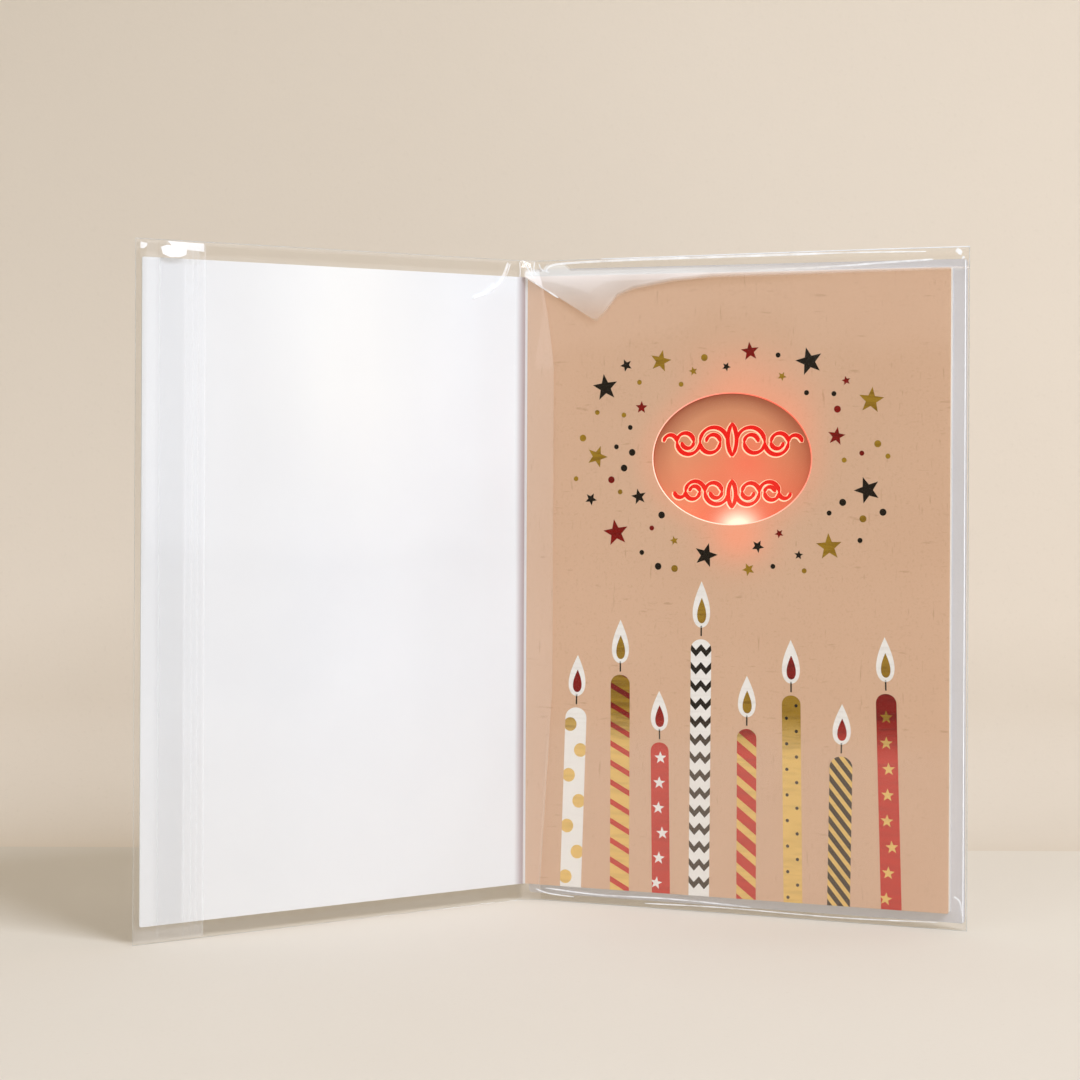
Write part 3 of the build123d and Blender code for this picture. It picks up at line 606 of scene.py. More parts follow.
def tent_glare(recipe, tint):
    """Painted reflection: how white, and how tinted, film is that stands off the right leaf near
    the fold's top.
    """
    x = recipe.measure(right.along)
    z = recipe.measure(UP)
    stops = []
    for across, height in TENT_EDGE:
        share = (height - EDGE_DATUM) / EDGE_ROOM
        stops.append((across / TENT_END, (share, share, share, 1.0)))
    edge = recipe.add("ValToRGB", {"stops": stops}, {"Fac": x / TENT_END}, "Color")
    soft = ((z - EDGE_DATUM - edge * EDGE_ROOM) / 1.6 + 0.4).limited()
    crisp = ((z - (CARD_HEAD - x * CREASE_SLOPE)) / 0.35).limited()
    wedge = ((14.0 - x) / 2.5).limited() * x.rising(4.6, 1.2) * WEDGE_RISE
    kept = ((CARD_HEAD + STRIP_HIGH + wedge - z) / 1.1).limited() * (x * 2).limited()
    above = z.rising(CARD_HEAD, 0.3)
    on_card = z.rising(167.0, 17) * 0.72 + 0.15
    on_envelope = ((112.0 - x) / 66).limited() * 0.60 + 0.04
    # Painted reflection, carried as milk in the film's finish.
    glare_share = soft * crisp * kept * (on_card * (1 - above) + on_envelope * above)
    return glare_share, recipe.mix(above, tint, ink(247, 252, 255))


SHEET_TINT = ink(251, 250, 248)
back_film = film("back_film", ink(255, 252, 250), through=SHEET_TINT)
front_film = film(
    "front_film", ink(255, 249, 248), 0.030, 0.06, tent_glare, SHEET_TINT, ink(255, 244, 230)
)
clear_film = film(
    "clear_film", ink(250, 251, 252), through=ink(255, 255, 255), mirrored=ink(245, 247, 250)
)
adhesive_film = film(
    "adhesive_strip", ink(250, 250, 250), 0.035, 0.25, mirrored=ink(247, 249, 251)
)
finishes["clear_film"] = clear_film
finishes["adhesive"] = adhesive_film
finishes["clear_strip"] = film("clear_strip", ink(250, 250, 250), 0.12, 0.08)

for name, node in nodes.items():
    for slot in node.material_slots:
        slot.material = finishes[slot.material.name.split(".")[0]]
print("dressed", len(nodes), "solids")

# %% [markdown]
# The print is foil and ink pressed on the card, a few hundredths of a millimetre thick.
# Each colour is one mesh of flat shapes, laid in front of the card in thin layers, so
# that a pattern lies on its candle and a candle lies on the card. Patterns that run off
# a candle's side are cut along its outline, as a printer's plate would do.
# Candles, stars and dots are common party figures. Their order, sizes and patterns here
# are our own.

# %% Flat shapes
LAYER = 0.012


def ring(middle, radius, count, start=90.0):
    points = []
    for step in range(count):
        turn = math.radians(start + 360 * step / count)
        points.append((
            middle[0] + radius * math.cos(turn),
            middle[1] + radius * math.sin(turn),
        ))
    return points


def star(middle, radius, start=90.0, waist=0.42):
    """Ten triangles round the middle, so that any of them can be cut."""
    outer = ring(middle, radius, 5, start)
    inner = ring(middle, radius * waist, 5, start + 36)
    rim = [point for pair in zip(outer, inner) for point in pair]
    return [[middle, rim[k], rim[(k + 1) % 10]] for k in range(10)]


def drop(middle, width, height):
    """A flame: pointed at the top, round at the foot."""
    points = []
    for step in range(40):
        turn = 2 * math.pi * step / 40
        points.append((
            middle[0] - width / 2 * math.sin(turn) * abs(math.sin(turn / 2)) ** 1.15 * 1.22,
            middle[1] + height / 2 * math.cos(turn),
        ))
    return points


def cut(polygon, outline):
    """The part of a polygon that lies inside an outline without dents."""
    for a, b in zip(outline, outline[1:] + outline[:1]):
        def inside(p):
            return (b[0] - a[0]) * (p[1] - a[1]) - (b[1] - a[1]) * (p[0] - a[0]) >= 0

        kept = []
        for p, q in zip(polygon, polygon[1:] + polygon[:1]):
            if inside(p) != inside(q):
                side = (b[0] - a[0], b[1] - a[1])
                step = (q[0] - p[0], q[1] - p[1])
                gap = (p[0] - a[0], p[1] - a[1])
                share = (side[1] * gap[0] - side[0] * gap[1]) / (
                    side[0] * step[1] - side[1] * step[0]
                )
                crossing = (p[0] + step[0] * share, p[1] + step[1] * share)
                kept += [crossing, q] if inside(q) else [crossing]
            elif inside(q):
                kept.append(q)
        polygon = kept
        if len(polygon) < 3:
            return []
    return polygon


class Plate:
    """One printing plate: flat shapes of one colour on a leaf."""

    def __init__(self, name, finish, leaf=right):
        self.name = name
        self.finish = finish
        self.leaf = leaf
        self.shapes = []

    def press(self, polygon, layer=1, proud=0.0):
        if len(polygon) >= 3:
            self.shapes.append((polygon, proud + layer * LAYER))

    def piece(self, body="back"):
        mesh = bpy.data.meshes.new(self.name)
        form = bmesh.new()
        for polygon, proud in self.shapes:
            form.faces.new(
                [form.verts.new(self.leaf.point(x, z, proud)) for x, z in polygon]
            )
        form.normal_update()
        bmesh.ops.reverse_faces(
            form, faces=[f for f in form.faces if f.normal.dot(self.leaf.facing) < 0]
        )
        form.to_mesh(mesh)
        form.free()
        obj = bpy.data.objects.new(self.name, mesh)
        obj.data.materials.append(self.finish)
        bpy.context.scene.collection.objects.link(obj)
        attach(obj, body)
        print(self.name, "holds", len(self.shapes), "shapes")
        return obj


print("layers of print are", LAYER, "mm apart")

# %% [markdown]
# Foil is a metal skin that takes on the card's grain: it mirrors the pale floor in its
# lower part and the darker room in its upper part, which is why the same gold looks
# pale at the candles' feet and olive on the stars. A metal that mirrored our own room
# would look different from every side, so the two tones are written into the foil, and
# only part of it is metallic. It has long fine scratches. White and black are ink.

# %% Foils and inks
FOIL_PALE_BELOW = 46.0
FOIL_TURN = 12.0


def foil(name, pale, deep, rubbed_off, roughness=0.30, metallic=0.6):
    """Painted reflection: pale low on the leaf, deep above, with long scratches that show the deep
    tone.
    """
    recipe = Recipe(name)
    rubbed = recipe.grain(420, 4.0, (0.25, 0.25, 2.2))
    crumbs = recipe.grain(1700, 2.0)
    height = recipe.measure(UP).rising(FOIL_PALE_BELOW, FOIL_TURN)
    base = recipe.mix(height, pale, deep)
    scratches = rubbed.rising(0.46, 0.2) * (height * 0.5 + 0.15)
    base = recipe.mix(scratches + (crumbs - 0.5).limited() * height, base, rubbed_off)
    return recipe.paint(
        Base_Color=base,
        Metallic=metallic,
        Specular_IOR_Level=0.06,
        Roughness=rubbed * 0.25 + roughness,
        Normal=recipe.bumped(rubbed + crumbs * 0.5, 0.15, 0.00003),
    )


plates = {
    name: Plate(f"print_{name}_{kind}", foil(f"{name}_{kind}", *tones))
    for name, kind, *tones in (
        ("gold", "foil", ink(252, 214, 126), ink(172, 136, 38), ink(132, 98, 24)),
        ("red", "foil", ink(216, 40, 14), ink(140, 0, 0), ink(104, 0, 0), 0.45, 0.2),
        ("black", "foil", ink(62, 40, 14), ink(16, 8, 2), ink(20, 12, 5), 0.6, 0.0),
        ("white", "ink", ink(255, 255, 255), ink(255, 255, 255), ink(242, 241, 240), 0.5, 0.0),
    )
}
print("plates:", list(plates))

# %% [markdown]
# A candle is drawn upright in its own small frame and then leaned over. Its outline has
# a rounded top and no dents, which is what our cutter needs.

# %% Candles
CANDLES = [
    # middle, top, width, lean, body, pattern, pattern's colour, flame's heart
    (15.5, 57.0, 6.6, 1.6, "white", "spots", "gold", "red"),
    (30.0, 67.0, 5.9, 0.0, "gold", "stripes", "red", "gold"),
    (42.5, 48.0, 5.5, -0.6, "red", "stars", "white", "red"),
    (54.5, 78.0, 6.2, 0.4, "white", "zigzag", "black", "gold"),
    (68.5, 53.0, 5.8, 0.0, "red", "bands", "gold", "gold"),
    (82.0, 63.0, 5.5, -0.8, "gold", "dots", "black", "red"),
    (96.0, 46.5, 6.6, 0.6, "gold", "bars", "black", "red"),
    (110.0, 64.5, 5.9, -1.8, "red", "stars", "gold", "gold"),
]


def candle_outline(width, length):
    half = width / 2
    shoulder = length - half * 0.9
    crown = []
    for step in range(13):
        turn = math.pi * step / 12
        crown.append((half * math.cos(turn), shoulder + half * 0.9 * math.sin(turn)))
    return [(-half, 0), (half, 0)] + crown


def slanted(width, length, pitch, thick, fall):
    """Bars that slope down to the right."""
    shapes = []
    level = -fall
    while level < length + fall:
        half = width / 2 + 0.1
        shapes.append([
            (-half, level), (half, level - fall), (half, level - fall + thick),
            (-half, level + thick),
        ])
        level += pitch
    return shapes


def zigzag(width, length):
    shapes = []
    step = width / 4
    level = 2.0
    while level < length:
        for k in range(4):
            low, high = (level, level + 1.7) if k % 2 else (level + 1.7, level)
            a = -width / 2 + k * step
            shapes.append([
                (a, low), (a + step, high), (a + step, high + 1.9), (a, low + 1.9)
            ])
        level += 5.1
    return shapes


def scattered(width, length, pitch, size, kind):
    shapes = []
    level = pitch * 0.4
    side = -1
    count = 0
    while level < length - 1:
        middle = (side * width * 0.26, level)
        if kind == "star":
            shapes += star(middle, size, 90 + 9 * side)
        else:
            shapes.append(ring(middle, size, 22))
        side = -side if kind != "star" or count % 3 else side * 0.4
        count += 1
        level += pitch
    return shapes


def pattern_shapes(kind, width, length):
    return {
        "stripes": lambda: slanted(width, length, 5.6, 1.7, 3.2),
        "bands": lambda: slanted(width, length, 6.2, 2.6, 4.6),
        "bars": lambda: slanted(width, length, 3.9, 2.1, 8.0),
        "zigzag": lambda: zigzag(width, length),
        "dots": lambda: scattered(width, length, 3.6, 0.48, "dot"),
        "spots": lambda: scattered(width, length, 7.4, 2.0, "dot"),
        "stars": lambda: scattered(width, length, 7.2, 1.9, "star"),
    }[kind]()

# %% [markdown]
# To draw a candle we press its body, then its pattern cut to the body's outline, then
# the wick, the flame, and the flame's heart.

# %% Draw the candles
WICK_HALF, WICK_LENGTH, WICK_ROOM = 0.22, 2.9, 0.9
FLAME_WIDTH, HEART_WIDTH = 5.8, 3.0
FLAME_HEIGHT = 12.2  # on a candle whose top is at z 60; higher ones have taller flames


def draw_candle(middle, top, width, lean, body, pattern, colour, heart):
    length = top - CARD_FOOT
    outline = candle_outline(width, length)

    def laid(polygon):
        return [(middle + x + lean * (z / length - 0.5), CARD_FOOT + z) for x, z in polygon]

    plates[body].press(laid(outline), 1)
    for shape in pattern_shapes(pattern, width, length):
        plates[colour].press(laid(cut(shape, outline)), 2)
    wick_foot = length + WICK_ROOM
    wick_head = wick_foot + WICK_LENGTH
    wick = [
        (-WICK_HALF, wick_foot), (WICK_HALF, wick_foot), (WICK_HALF, wick_head),
        (-WICK_HALF, wick_head),
    ]
    plates["black"].press(laid(wick), 1)
    flame = FLAME_HEIGHT + 0.06 * (top - 60)
    flame_middle = wick_head + flame / 2 - 0.5
    plates["white"].press(laid(drop((0, flame_middle), FLAME_WIDTH, flame)), 1)
    heart_middle = (0.1, flame_middle - flame * 0.13)
    plates[heart].press(laid(drop(heart_middle, HEART_WIDTH, flame * 0.55)), 2)


for candle in CANDLES:
    draw_candle(*candle)
print("candles drawn:", len(CANDLES))

# %% [markdown]
# Stars and dots lie round the window like thrown confetti: a few large stars, more small
# ones, and dots between them. The large ones are listed one by one to balance the leaf.
# The rest fall at random from a fixed seed, and none may touch another.

# %% Confetti round the window
BIG_STARS = [
    (25.0, 150.0, 4.0, "black", 8), (42.0, 157.5, 3.3, "gold", -12),
    (86.5, 157.0, 4.1, "black", 14), (104.5, 146.0, 3.8, "gold", -6),
    (103.5, 121.0, 3.9, "black", 20), (92.5, 105.0, 3.9, "gold", 4),
    (56.0, 102.0, 3.6, "black", -15), (28.5, 108.0, 4.0, "red", 10),
    (22.5, 130.0, 3.3, "gold", -20), (69.0, 160.0, 2.8, "red", 6),
    (94.5, 136.0, 2.7, "red", -9), (35.5, 118.5, 2.4, "black", 12),
]
SCATTER_HALF = (48.0, 32.5)
SCATTER_EDGE = 1.08  # a piece may lie in an oval this much larger
SCATTER_GAP = 2.6
SCATTER_TRIES = 400
WINDOW_ROOM = (5.0, 4.5)  # bare ground beside the window, and above and below it
SMALL_ONES = [("star", 1.9, 5), ("star", 1.35, 7), ("dot", 1.0, 13), ("dot", 0.72, 20)]


def in_oval(x, z, half_wide, half_high):
    run = (x - WINDOW_MIDDLE[0]) / half_wide
    rise = (z - WINDOW_MIDDLE[1]) / half_high
    return run * run + rise * rise < 1


dice = random.Random(41)
taken = [(x, z, size) for x, z, size, _, _ in BIG_STARS]
for x, z, size, colour, turn in BIG_STARS:
    for face in star((x, z), size, 90 + turn):
        plates[colour].press(face, 1)
wanted = [(kind, size) for kind, size, count in SMALL_ONES for _ in range(count)]
for kind, size in wanted:
    for _ in range(SCATTER_TRIES):
        x = WINDOW_MIDDLE[0] + dice.uniform(-1, 1) * SCATTER_HALF[0]
        z = WINDOW_MIDDLE[1] + dice.uniform(-1, 1) * SCATTER_HALF[1]
        if in_oval(x, z, WINDOW_HALF[0] + WINDOW_ROOM[0], WINDOW_HALF[1] + WINDOW_ROOM[1]):
            continue
        if not in_oval(x, z, SCATTER_HALF[0] * SCATTER_EDGE, SCATTER_HALF[1] * SCATTER_EDGE):
            continue
        if all(math.hypot(x - a, z - b) > size + r + SCATTER_GAP for a, b, r in taken):
            break
    else:
        continue
    taken.append((x, z, size))
    colour = dice.choice(["gold", "gold", "black", "gold", "black", "red"])
    if kind == "star":
        for face in star((x, z), size, dice.uniform(60, 120), 0.45):
            plates[colour].press(face, 1)
    else:
        plates[colour].press(ring((x, z), size, 22), 1)
print("confetti pieces:", len(taken))
for plate in plates.values():
    plate.piece()

# %% [markdown]
# The light plate carries scrollwork in two rows. Its grooves catch the lamp's red and
# stand out with a pale rim. A scroll is drawn the way a broad pen draws it: the line
# swells where it runs across the nib and thins where it runs along it. The pale rim is
# painted light on the groove's wall: the same line, a bit wider, one layer behind.

# %% Scrollwork
NIB_TURN = math.radians(38)
NIB_THIN = 0.66  # the line's share of the nib where it is thinnest
PLATE_FRONT = right.span("light_plate")[2][1]


def smooth_line(points, steps=9):
    """A Catmull-Rom line through the points."""
    ends = [points[0]] + list(points) + [points[-1]]
    line = []
    for p0, p1, p2, p3 in zip(ends, ends[1:], ends[2:], ends[3:]):
        for step in range(steps):
            t = step / steps
            line.append(tuple(
                0.5 * (2 * b + (c - a) * t + (2 * a - 5 * b + 4 * c - d) * t * t
                       + (3 * b - a - 3 * c + d) * t ** 3)
                for a, b, c, d in zip(p0, p1, p2, p3)
            ))
    return line + [points[-1]]


def pen(line, width, extra=0.0):
    """Quads along a line, as wide as a broad nib leaves them."""
    sides = []
    for k, (x, z) in enumerate(line):
        before = line[max(k - 1, 0)]
        after = line[min(k + 1, len(line) - 1)]
        run, rise = after[0] - before[0], after[1] - before[1]
        size = math.hypot(run, rise) or 1.0
        turn = math.atan2(rise, run)
        tip = min(1.0, 0.5 + k / 4, 0.5 + (len(line) - 1 - k) / 4)
        swell = NIB_THIN + 0.34 * abs(math.sin(turn - NIB_TURN))
        half = width / 2 * swell * tip + extra
        sides.append((
            (x - rise / size * half, z + run / size * half),
            (x + rise / size * half, z - run / size * half),
        ))
    return [[a[0], a[1], b[1], b[0]] for a, b in zip(sides, sides[1:])]

# %% [markdown]
# A row is built from half rings, by turns above and below its line, and is the same to
# both sides of a bud in the middle. The sizes are shares of the window's size.

# %% Rows of half rings
SCROLL_RINGS = (  # start, end, side
    (0.055, 0.408, 1), (0.408, 0.151, -1), (0.151, 0.328, 1), (0.408, 0.702, -1),
    (0.702, 0.487, 1), (0.487, 0.639, -1), (0.702, 0.870, 1),
)
SCROLL_BUD = (-0.17, 0.01, 0.23)  # foot, waist, tip
SCROLL_BUD_WIDTH = 0.055


def arc(x, z, radius, start, sweep, steps):
    turns = [start + sweep * k / steps for k in range(steps + 1)]
    return [(x + radius * math.cos(turn), z + radius * math.sin(turn)) for turn in turns]


def half_ring(x, z, radius, up):
    """Half a ring that stands on its row, or hangs from it."""
    return arc(x, z, radius, 0.0, math.pi if up else -math.pi, 16)


def bulged(foot, waist, tip):
    """Part of a ring through three points."""
    (ax, az), (bx, bz), (cx, cz) = foot, waist, tip
    area = 2 * (ax * (bz - cz) + bx * (cz - az) + cx * (az - bz))
    sums = [x * x + z * z for x, z in (foot, waist, tip)]
    x = (sums[0] * (bz - cz) + sums[1] * (cz - az) + sums[2] * (az - bz)) / area
    z = (sums[0] * (cx - bx) + sums[1] * (ax - cx) + sums[2] * (bx - ax)) / area
    start, end = math.atan2(az - z, ax - x), math.atan2(cz - z, cx - x)
    sweep = (end - start + math.pi) % math.tau - math.pi
    return arc(x, z, math.hypot(ax - x, az - z), start, sweep, 12)


def scroll_row(level, unit, way):
    """Lines of one row: the same half rings to both sides of a bud."""
    x = WINDOW_MIDDLE[0]
    lines = []
    for half in (-1, 1):
        for start, end, side in SCROLL_RINGS:
            place = x + half * unit * (start + end) / 2
            lines.append(half_ring(place, level, unit * abs(end - start) / 2, side * way > 0))
        foot, waist, tip = (level + way * unit * height for height in SCROLL_BUD)
        lines.append(bulged((x, foot), (x + half * unit * SCROLL_BUD_WIDTH, waist), (x, tip)))
    return lines


print("a row has", len(scroll_row(0.0, 1.0, 1)), "lines")

# %% [markdown]
# Both the groove and its rim glow with the light that runs inside the plate, and most
# of all near the lamp. The rows are the same ones that are cut into the solid plate.

# %% Engrave the plate
def glowing(name, colour, bright, strength, deep):
    """Engraved line: its own colour, brightened by the lamp's light inside the plate."""
    recipe = Recipe(name)
    lit = reach_from(recipe, LAMP[0], 112.0, 1.2, 1.0).falling(11.0)
    grit = recipe.grain(1200, 2.0)
    return recipe.paint(
        Base_Color=recipe.mix(grit * 0.5, colour, deep),
        Specular_IOR_Level=0.1,
        Roughness=grit * 0.2 + 0.35,
        Emission_Color=recipe.mix(lit, colour, bright),
        Emission_Strength=strength,
        Normal=recipe.bumped(grit, 0.3, 0.00003),
    )


groove_plate = Plate(
    "engraved_lines",
    glowing("engraved_red", ink(226, 12, 8), ink(250, 96, 72), 0.42, ink(176, 6, 4)),
)
rim_plate = Plate(
    "engraved_rims",
    glowing("engraved_rim", ink(250, 206, 172), ink(255, 236, 214), 0.50, ink(244, 190, 156)),
)
SCROLL_ROWS = ((0.256, 1.0, 1), (-0.50, 0.84, -1))  # height, size, way up
NIB = 1.35
RIM_WIDTH = 0.26
RIM_SLIP = -0.12  # the rim shows most on the lower left, where the groove's wall faces up
for rise, size, way in SCROLL_ROWS:
    for line in scroll_row(WINDOW_MIDDLE[1] + rise * WINDOW_HALF[1], size * WINDOW_HALF[0], way):
        for quad in pen(line, NIB):
            groove_plate.press(quad, 2, PLATE_FRONT)
        slipped = [(x + RIM_SLIP, z + RIM_SLIP) for x, z in line]
        for quad in pen(slipped, NIB, RIM_WIDTH):
            rim_plate.press(quad, 1, PLATE_FRONT)
groove_plate.piece()
rim_plate.piece()

# %% [markdown]
# The edge of the cut window is the brightest line on the card: light leaves the plate
# sideways and hits the raw edge of the card. On the lower left it is almost white, and
# on the upper right it is orange red. It is a fine bead along the oval.

# %% Bead of light along the window's edge
def tube(path, radius, sides=6, closed=False):
    """Points and faces of a thin tube along a path of vectors."""
    points, faces = [], []
    count = len(path)
    for k, middle in enumerate(path):
        before = path[k - 1] if closed or k else path[0]
        after = path[(k + 1) % count] if closed or k < count - 1 else path[-1]
        way = (after - before).normalized()
        side = way.cross(UP if abs(way.dot(UP)) < 0.9 else right.facing).normalized()
        lift = side.cross(way)
        for s in range(sides):
            turn = 2 * math.pi * s / sides
            points.append(middle + (side * math.cos(turn) + lift * math.sin(turn)) * radius * MM)
    for k in range(count if closed else count - 1):
        for s in range(sides):
            a, b = k * sides + s, k * sides + (s + 1) % sides
            c, d = (b + sides) % len(points), (a + sides) % len(points)
            faces.append((a, b, c, d))
    return points, faces


def smooth_piece(name, points, faces, finish):
    mesh = bpy.data.meshes.new(name)
    mesh.from_pydata([tuple(point) for point in points], [], faces)
    mesh.polygons.foreach_set("use_smooth", [True] * len(mesh.polygons))
    mesh.update()
    obj = bpy.data.objects.new(name, mesh)
    obj.data.materials.append(finish)
    bpy.context.scene.collection.objects.link(obj)
    return obj


def lit_edge():
    """Nearly white on the lower left, orange red on the upper right."""
    recipe = Recipe("window_edge")
    x = recipe.measure(right.along) - WINDOW_MIDDLE[0]
    z = recipe.measure(UP) - WINDOW_MIDDLE[1]
    turned = ((x * 0.6 + z * 0.8) / 42 + 0.5).limited()
    return recipe.paint(
        Base_Color=recipe.mix(turned, ink(250, 226, 208), ink(240, 110, 84)),
        Roughness=recipe.grain(900) * 0.2 + 0.4,
        Emission_Color=recipe.mix(turned, ink(255, 222, 202), ink(255, 84, 60)),
        Emission_Strength=0.60,
        Normal=recipe.bumped(recipe.grain(1500), 0.3, 0.00003),
    )


OVAL_STEPS = 120
oval = []
for step in range(OVAL_STEPS):
    turn = 2 * math.pi * step / OVAL_STEPS
    x = WINDOW_MIDDLE[0] + WINDOW_HALF[0] * math.cos(turn)
    z = WINDOW_MIDDLE[1] + WINDOW_HALF[1] * math.sin(turn)
    oval.append(right.point(x, z, -0.06))
window_bead = smooth_piece("window_edge_glow", *tube(oval, 0.17, 8, True), lit_edge())
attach(window_bead, "back")
print("window's bead has", len(oval), "stations")

# %% [markdown]
# The bag is one long clear bag that holds the open card. Real film never lies flat: it
# rides half a millimetre off the card, dips to its welded edges, and bridges the fold.
# So we draw the front and the back of the bag each as one sheet of small squares, from
# the flap end over the fold to the welded end. Each point asks a small function how far
# it stands off the card there, and how much milk and painted reflection it carries. The
# sheet crosses the fold.

# %% How the film lies
FILM_LIFT = 0.42
RIGHT_SEAM = 1.45
LEFT_SEAM = 0.17


def eased(value):
    t = min(1.0, max(0.0, value))
    return t * t * (3 - 2 * t)


def margin(x, z, card_end, bag_end, foot, head):
    """0 over the card, 1 on the bag's welded edges."""
    out = eased((x - card_end) / (bag_end - card_end))
    down = eased((foot - z) / foot)
    up = eased((z - head) / (BAG_HEAD - head))
    return 1 - (1 - out) * (1 - down) * (1 - up)


def ripples(x, z, seed):
    broad = noise.noise(Vector((x / 46, z / 70, seed)))
    fine = noise.noise(Vector((x / 13, z / 38, seed + 7)))
    return 0.20 * broad + 0.06 * fine


def fold_reach(z):
    """How far from the fold the film lifts off the right leaf, by height."""
    height = min(1.0, max(0.0, (BAG_HEAD - z) / BAG_HEAD))
    return 1.6 + 7.2 * min(1.0, height * 6) ** 0.5 * (1 - 0.55 * max(0.0, height * 3 - 2))


VEIL_TOP = 58.0
PAINTED_LOW_REFLECTION = 0.09  # painted reflection low on the right leaf
PAINTED_FOLD_SHEEN = 0.18  # painted sheen where the film curves beside the fold
WELD_MILK = 0.05
NO_END = 9  # a distance in mm at which no weld is near
TENT = [(0.0, 182.5), (21.3, 169.6), (24.6, 177.0), (40.0, 179.2), (80.0, 180.8), (132.0, 182.0)]


def tent_line(x):
    for (a, p), (b, q) in zip(TENT, TENT[1:]):
        if x <= b:
            return p + (q - p) * max(0.0, (x - a) / (b - a))
    return TENT[-1][1]


def settled(ride, edge, seam):
    """How proud the film is, between its ride over the card and its welded seam."""
    return ride * (1 - edge) - seam * edge


def film_right(x, z):
    ride = FILM_LIFT + ripples(x, z, 3.1)
    ride += 0.5 * eased((z - tent_line(x)) / 5) * eased((CARD_HEAD + 2 - z) / 4)
    edge = margin(x, z, CARD_WIDTH, bag_right_x[1], CARD_FOOT, CARD_HEAD)
    # Painted reflection low on the right leaf, carried as milk.
    milk = 0.005 + PAINTED_LOW_REFLECTION * eased((VEIL_TOP - z) / 14) * (1 - edge)
    return settled(ride, edge, RIGHT_SEAM), milk


def film_left(x, z):
    edge = margin(x, z, CARD_WIDTH, bag_left_x[1], CARD_FOOT, CARD_HEAD)
    return settled(FILM_LIFT + ripples(x, z, 9.4), edge, LEFT_SEAM), 0.004


envelope_x, envelope_z, _ = right.span("envelope_back")
CORNER_RISE = 0.9


def raised(x, z):
    """The bag's top corner stands a little higher at the right end."""
    return z + CORNER_RISE * eased(x / bag_right_x[1]) * eased((z - envelope_z[1]) / 3.0)


def edge_milk(z, end_gap):
    """Welds are milky, in a band about a millimetre wide."""
    nearest = min(z, BAG_HEAD - z, end_gap)
    return WELD_MILK * eased(1.0 - nearest)


print("film stands", round(film_right(60, 90)[0], 2), "mm off the middle of the right leaf")

# %% [markdown]
# Squares need not be equal. They are narrow along the welded edges and near the fold,
# where the film bends sharply, and wide over the leaves.

# %% Mesh for a sheet of film
def stations(low, high, pace, edges):
    """Places from low to high: fine steps near both ends, then an even pace."""
    near = [0.0, 0.35, 0.8, 1.3, 2.0, 2.8, 3.8, 4.8] if edges else [0.0]
    body = high - low - 2 * near[-1]
    count = max(1, round(body / pace))
    middle = [low + near[-1] + body * k / count for k in range(count + 1)]
    return [low + n for n in near[:-1]] + middle + [high - n for n in reversed(near[:-1])]


def film_sheet(name, rows, finish):
    """Rows of (place, milk and painted sheen) pairs, as a smooth mesh."""
    points = [place for row in rows for place, _ in row]
    milk = [value for row in rows for _, value in row]
    wide = len(rows[0])
    faces = []
    for r in range(len(rows) - 1):
        for c in range(wide - 1):
            a = r * wide + c
            faces.append((a, a + 1, a + 1 + wide, a + wide))
    obj = smooth_piece(name, points, faces, finish)
    attribute = obj.data.attributes.new("milk", "FLOAT", "POINT")
    attribute.data.foreach_set("value", milk)
    return obj


def bridge(start, middle, end, count):
    """Points on a soft arc between two places."""
    places = []
    for k in range(1, count):
        t = k / count
        places.append(start * (1 - t) ** 2 + middle * 2 * t * (1 - t) + end * t * t)
    return places

# %% [markdown]
# The front sheet runs along each height from the flap's end over the cover, lifts off
# the card near the fold, bridges to the right leaf and ends in the right weld.

# %% Front film
FLAT_LEFT = 3.0
heights = stations(0.0, BAG_HEAD, 1.9, True)
left_steps = stations(FLAT_LEFT, bag_left_x[1], 2.0, False)[:-4]
left_steps += stations(left_steps[-1], bag_left_x[1], 0.8, False)[1:]
right_shares = [0.0, 0.002] + stations(0.004, 1.0, 1 / 62, False)[:-4]
right_shares += stations(right_shares[-1], 1.0, 1 / 160, False)[1:]


def front_row(z):
    row = []
    for x in reversed(left_steps):
        proud, milk = film_left(x, z)
        to_end = bag_left_x[1] - x + NO_END
        row.append((left.point(x, z, proud), milk + edge_milk(z, to_end)))
    lift_off = fold_reach(z)
    start = row[-1][0]
    proud, milk = film_right(lift_off, z)
    end = right.point(lift_off, z, proud)
    hollow = (start + end) * 0.36 + right.point(0, z, 1.0) * 0.28
    # The bridge over the fold carries painted sheen.
    for k, place in enumerate(bridge(start, hollow, end, 10)):
        row.append((place, 0.008 + PAINTED_FOLD_SHEEN * eased(k / 3) + edge_milk(z, NO_END)))
    for share in right_shares:
        x = lift_off + (bag_right_x[1] - lift_off) * share
        proud, milk = film_right(x, z)
        # Painted sheen where the film lifts off the right leaf.
        milk += PAINTED_FOLD_SHEEN if share == 0 else 0
        place = right.point(x, raised(x, z), proud)
        row.append((place, milk + edge_milk(z, bag_right_x[1] - x)))
    return row


front_rows = [front_row(z) for z in heights]
bag_front = film_sheet("bag_front_film", front_rows, front_film)
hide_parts("bag_front_left", "bag_front_right", "bag_spine_front")
print("front film:", len(bag_front.data.polygons), "squares")

# %% [markdown]
# The back of the bag follows the same plan on the other side: it lies over the envelope
# on the right and over the plain cover on the left, and turns round the spine.

# %% Back film
back_proud = bag_right_proud[0]
cover_back = bag_left_proud[0]


def back_right(x, z):
    edge = margin(x, z, envelope_x[1], bag_right_x[1], *envelope_z)
    return settled(back_proud - 0.18 + ripples(x, z, 21.0) * 0.8, edge, RIGHT_SEAM)


def back_left(x, z):
    edge = margin(x, z, CARD_WIDTH, bag_left_x[1], CARD_FOOT, CARD_HEAD)
    return settled(cover_back - 0.22 + ripples(x, z, 33.0) * 0.8, edge, LEFT_SEAM)


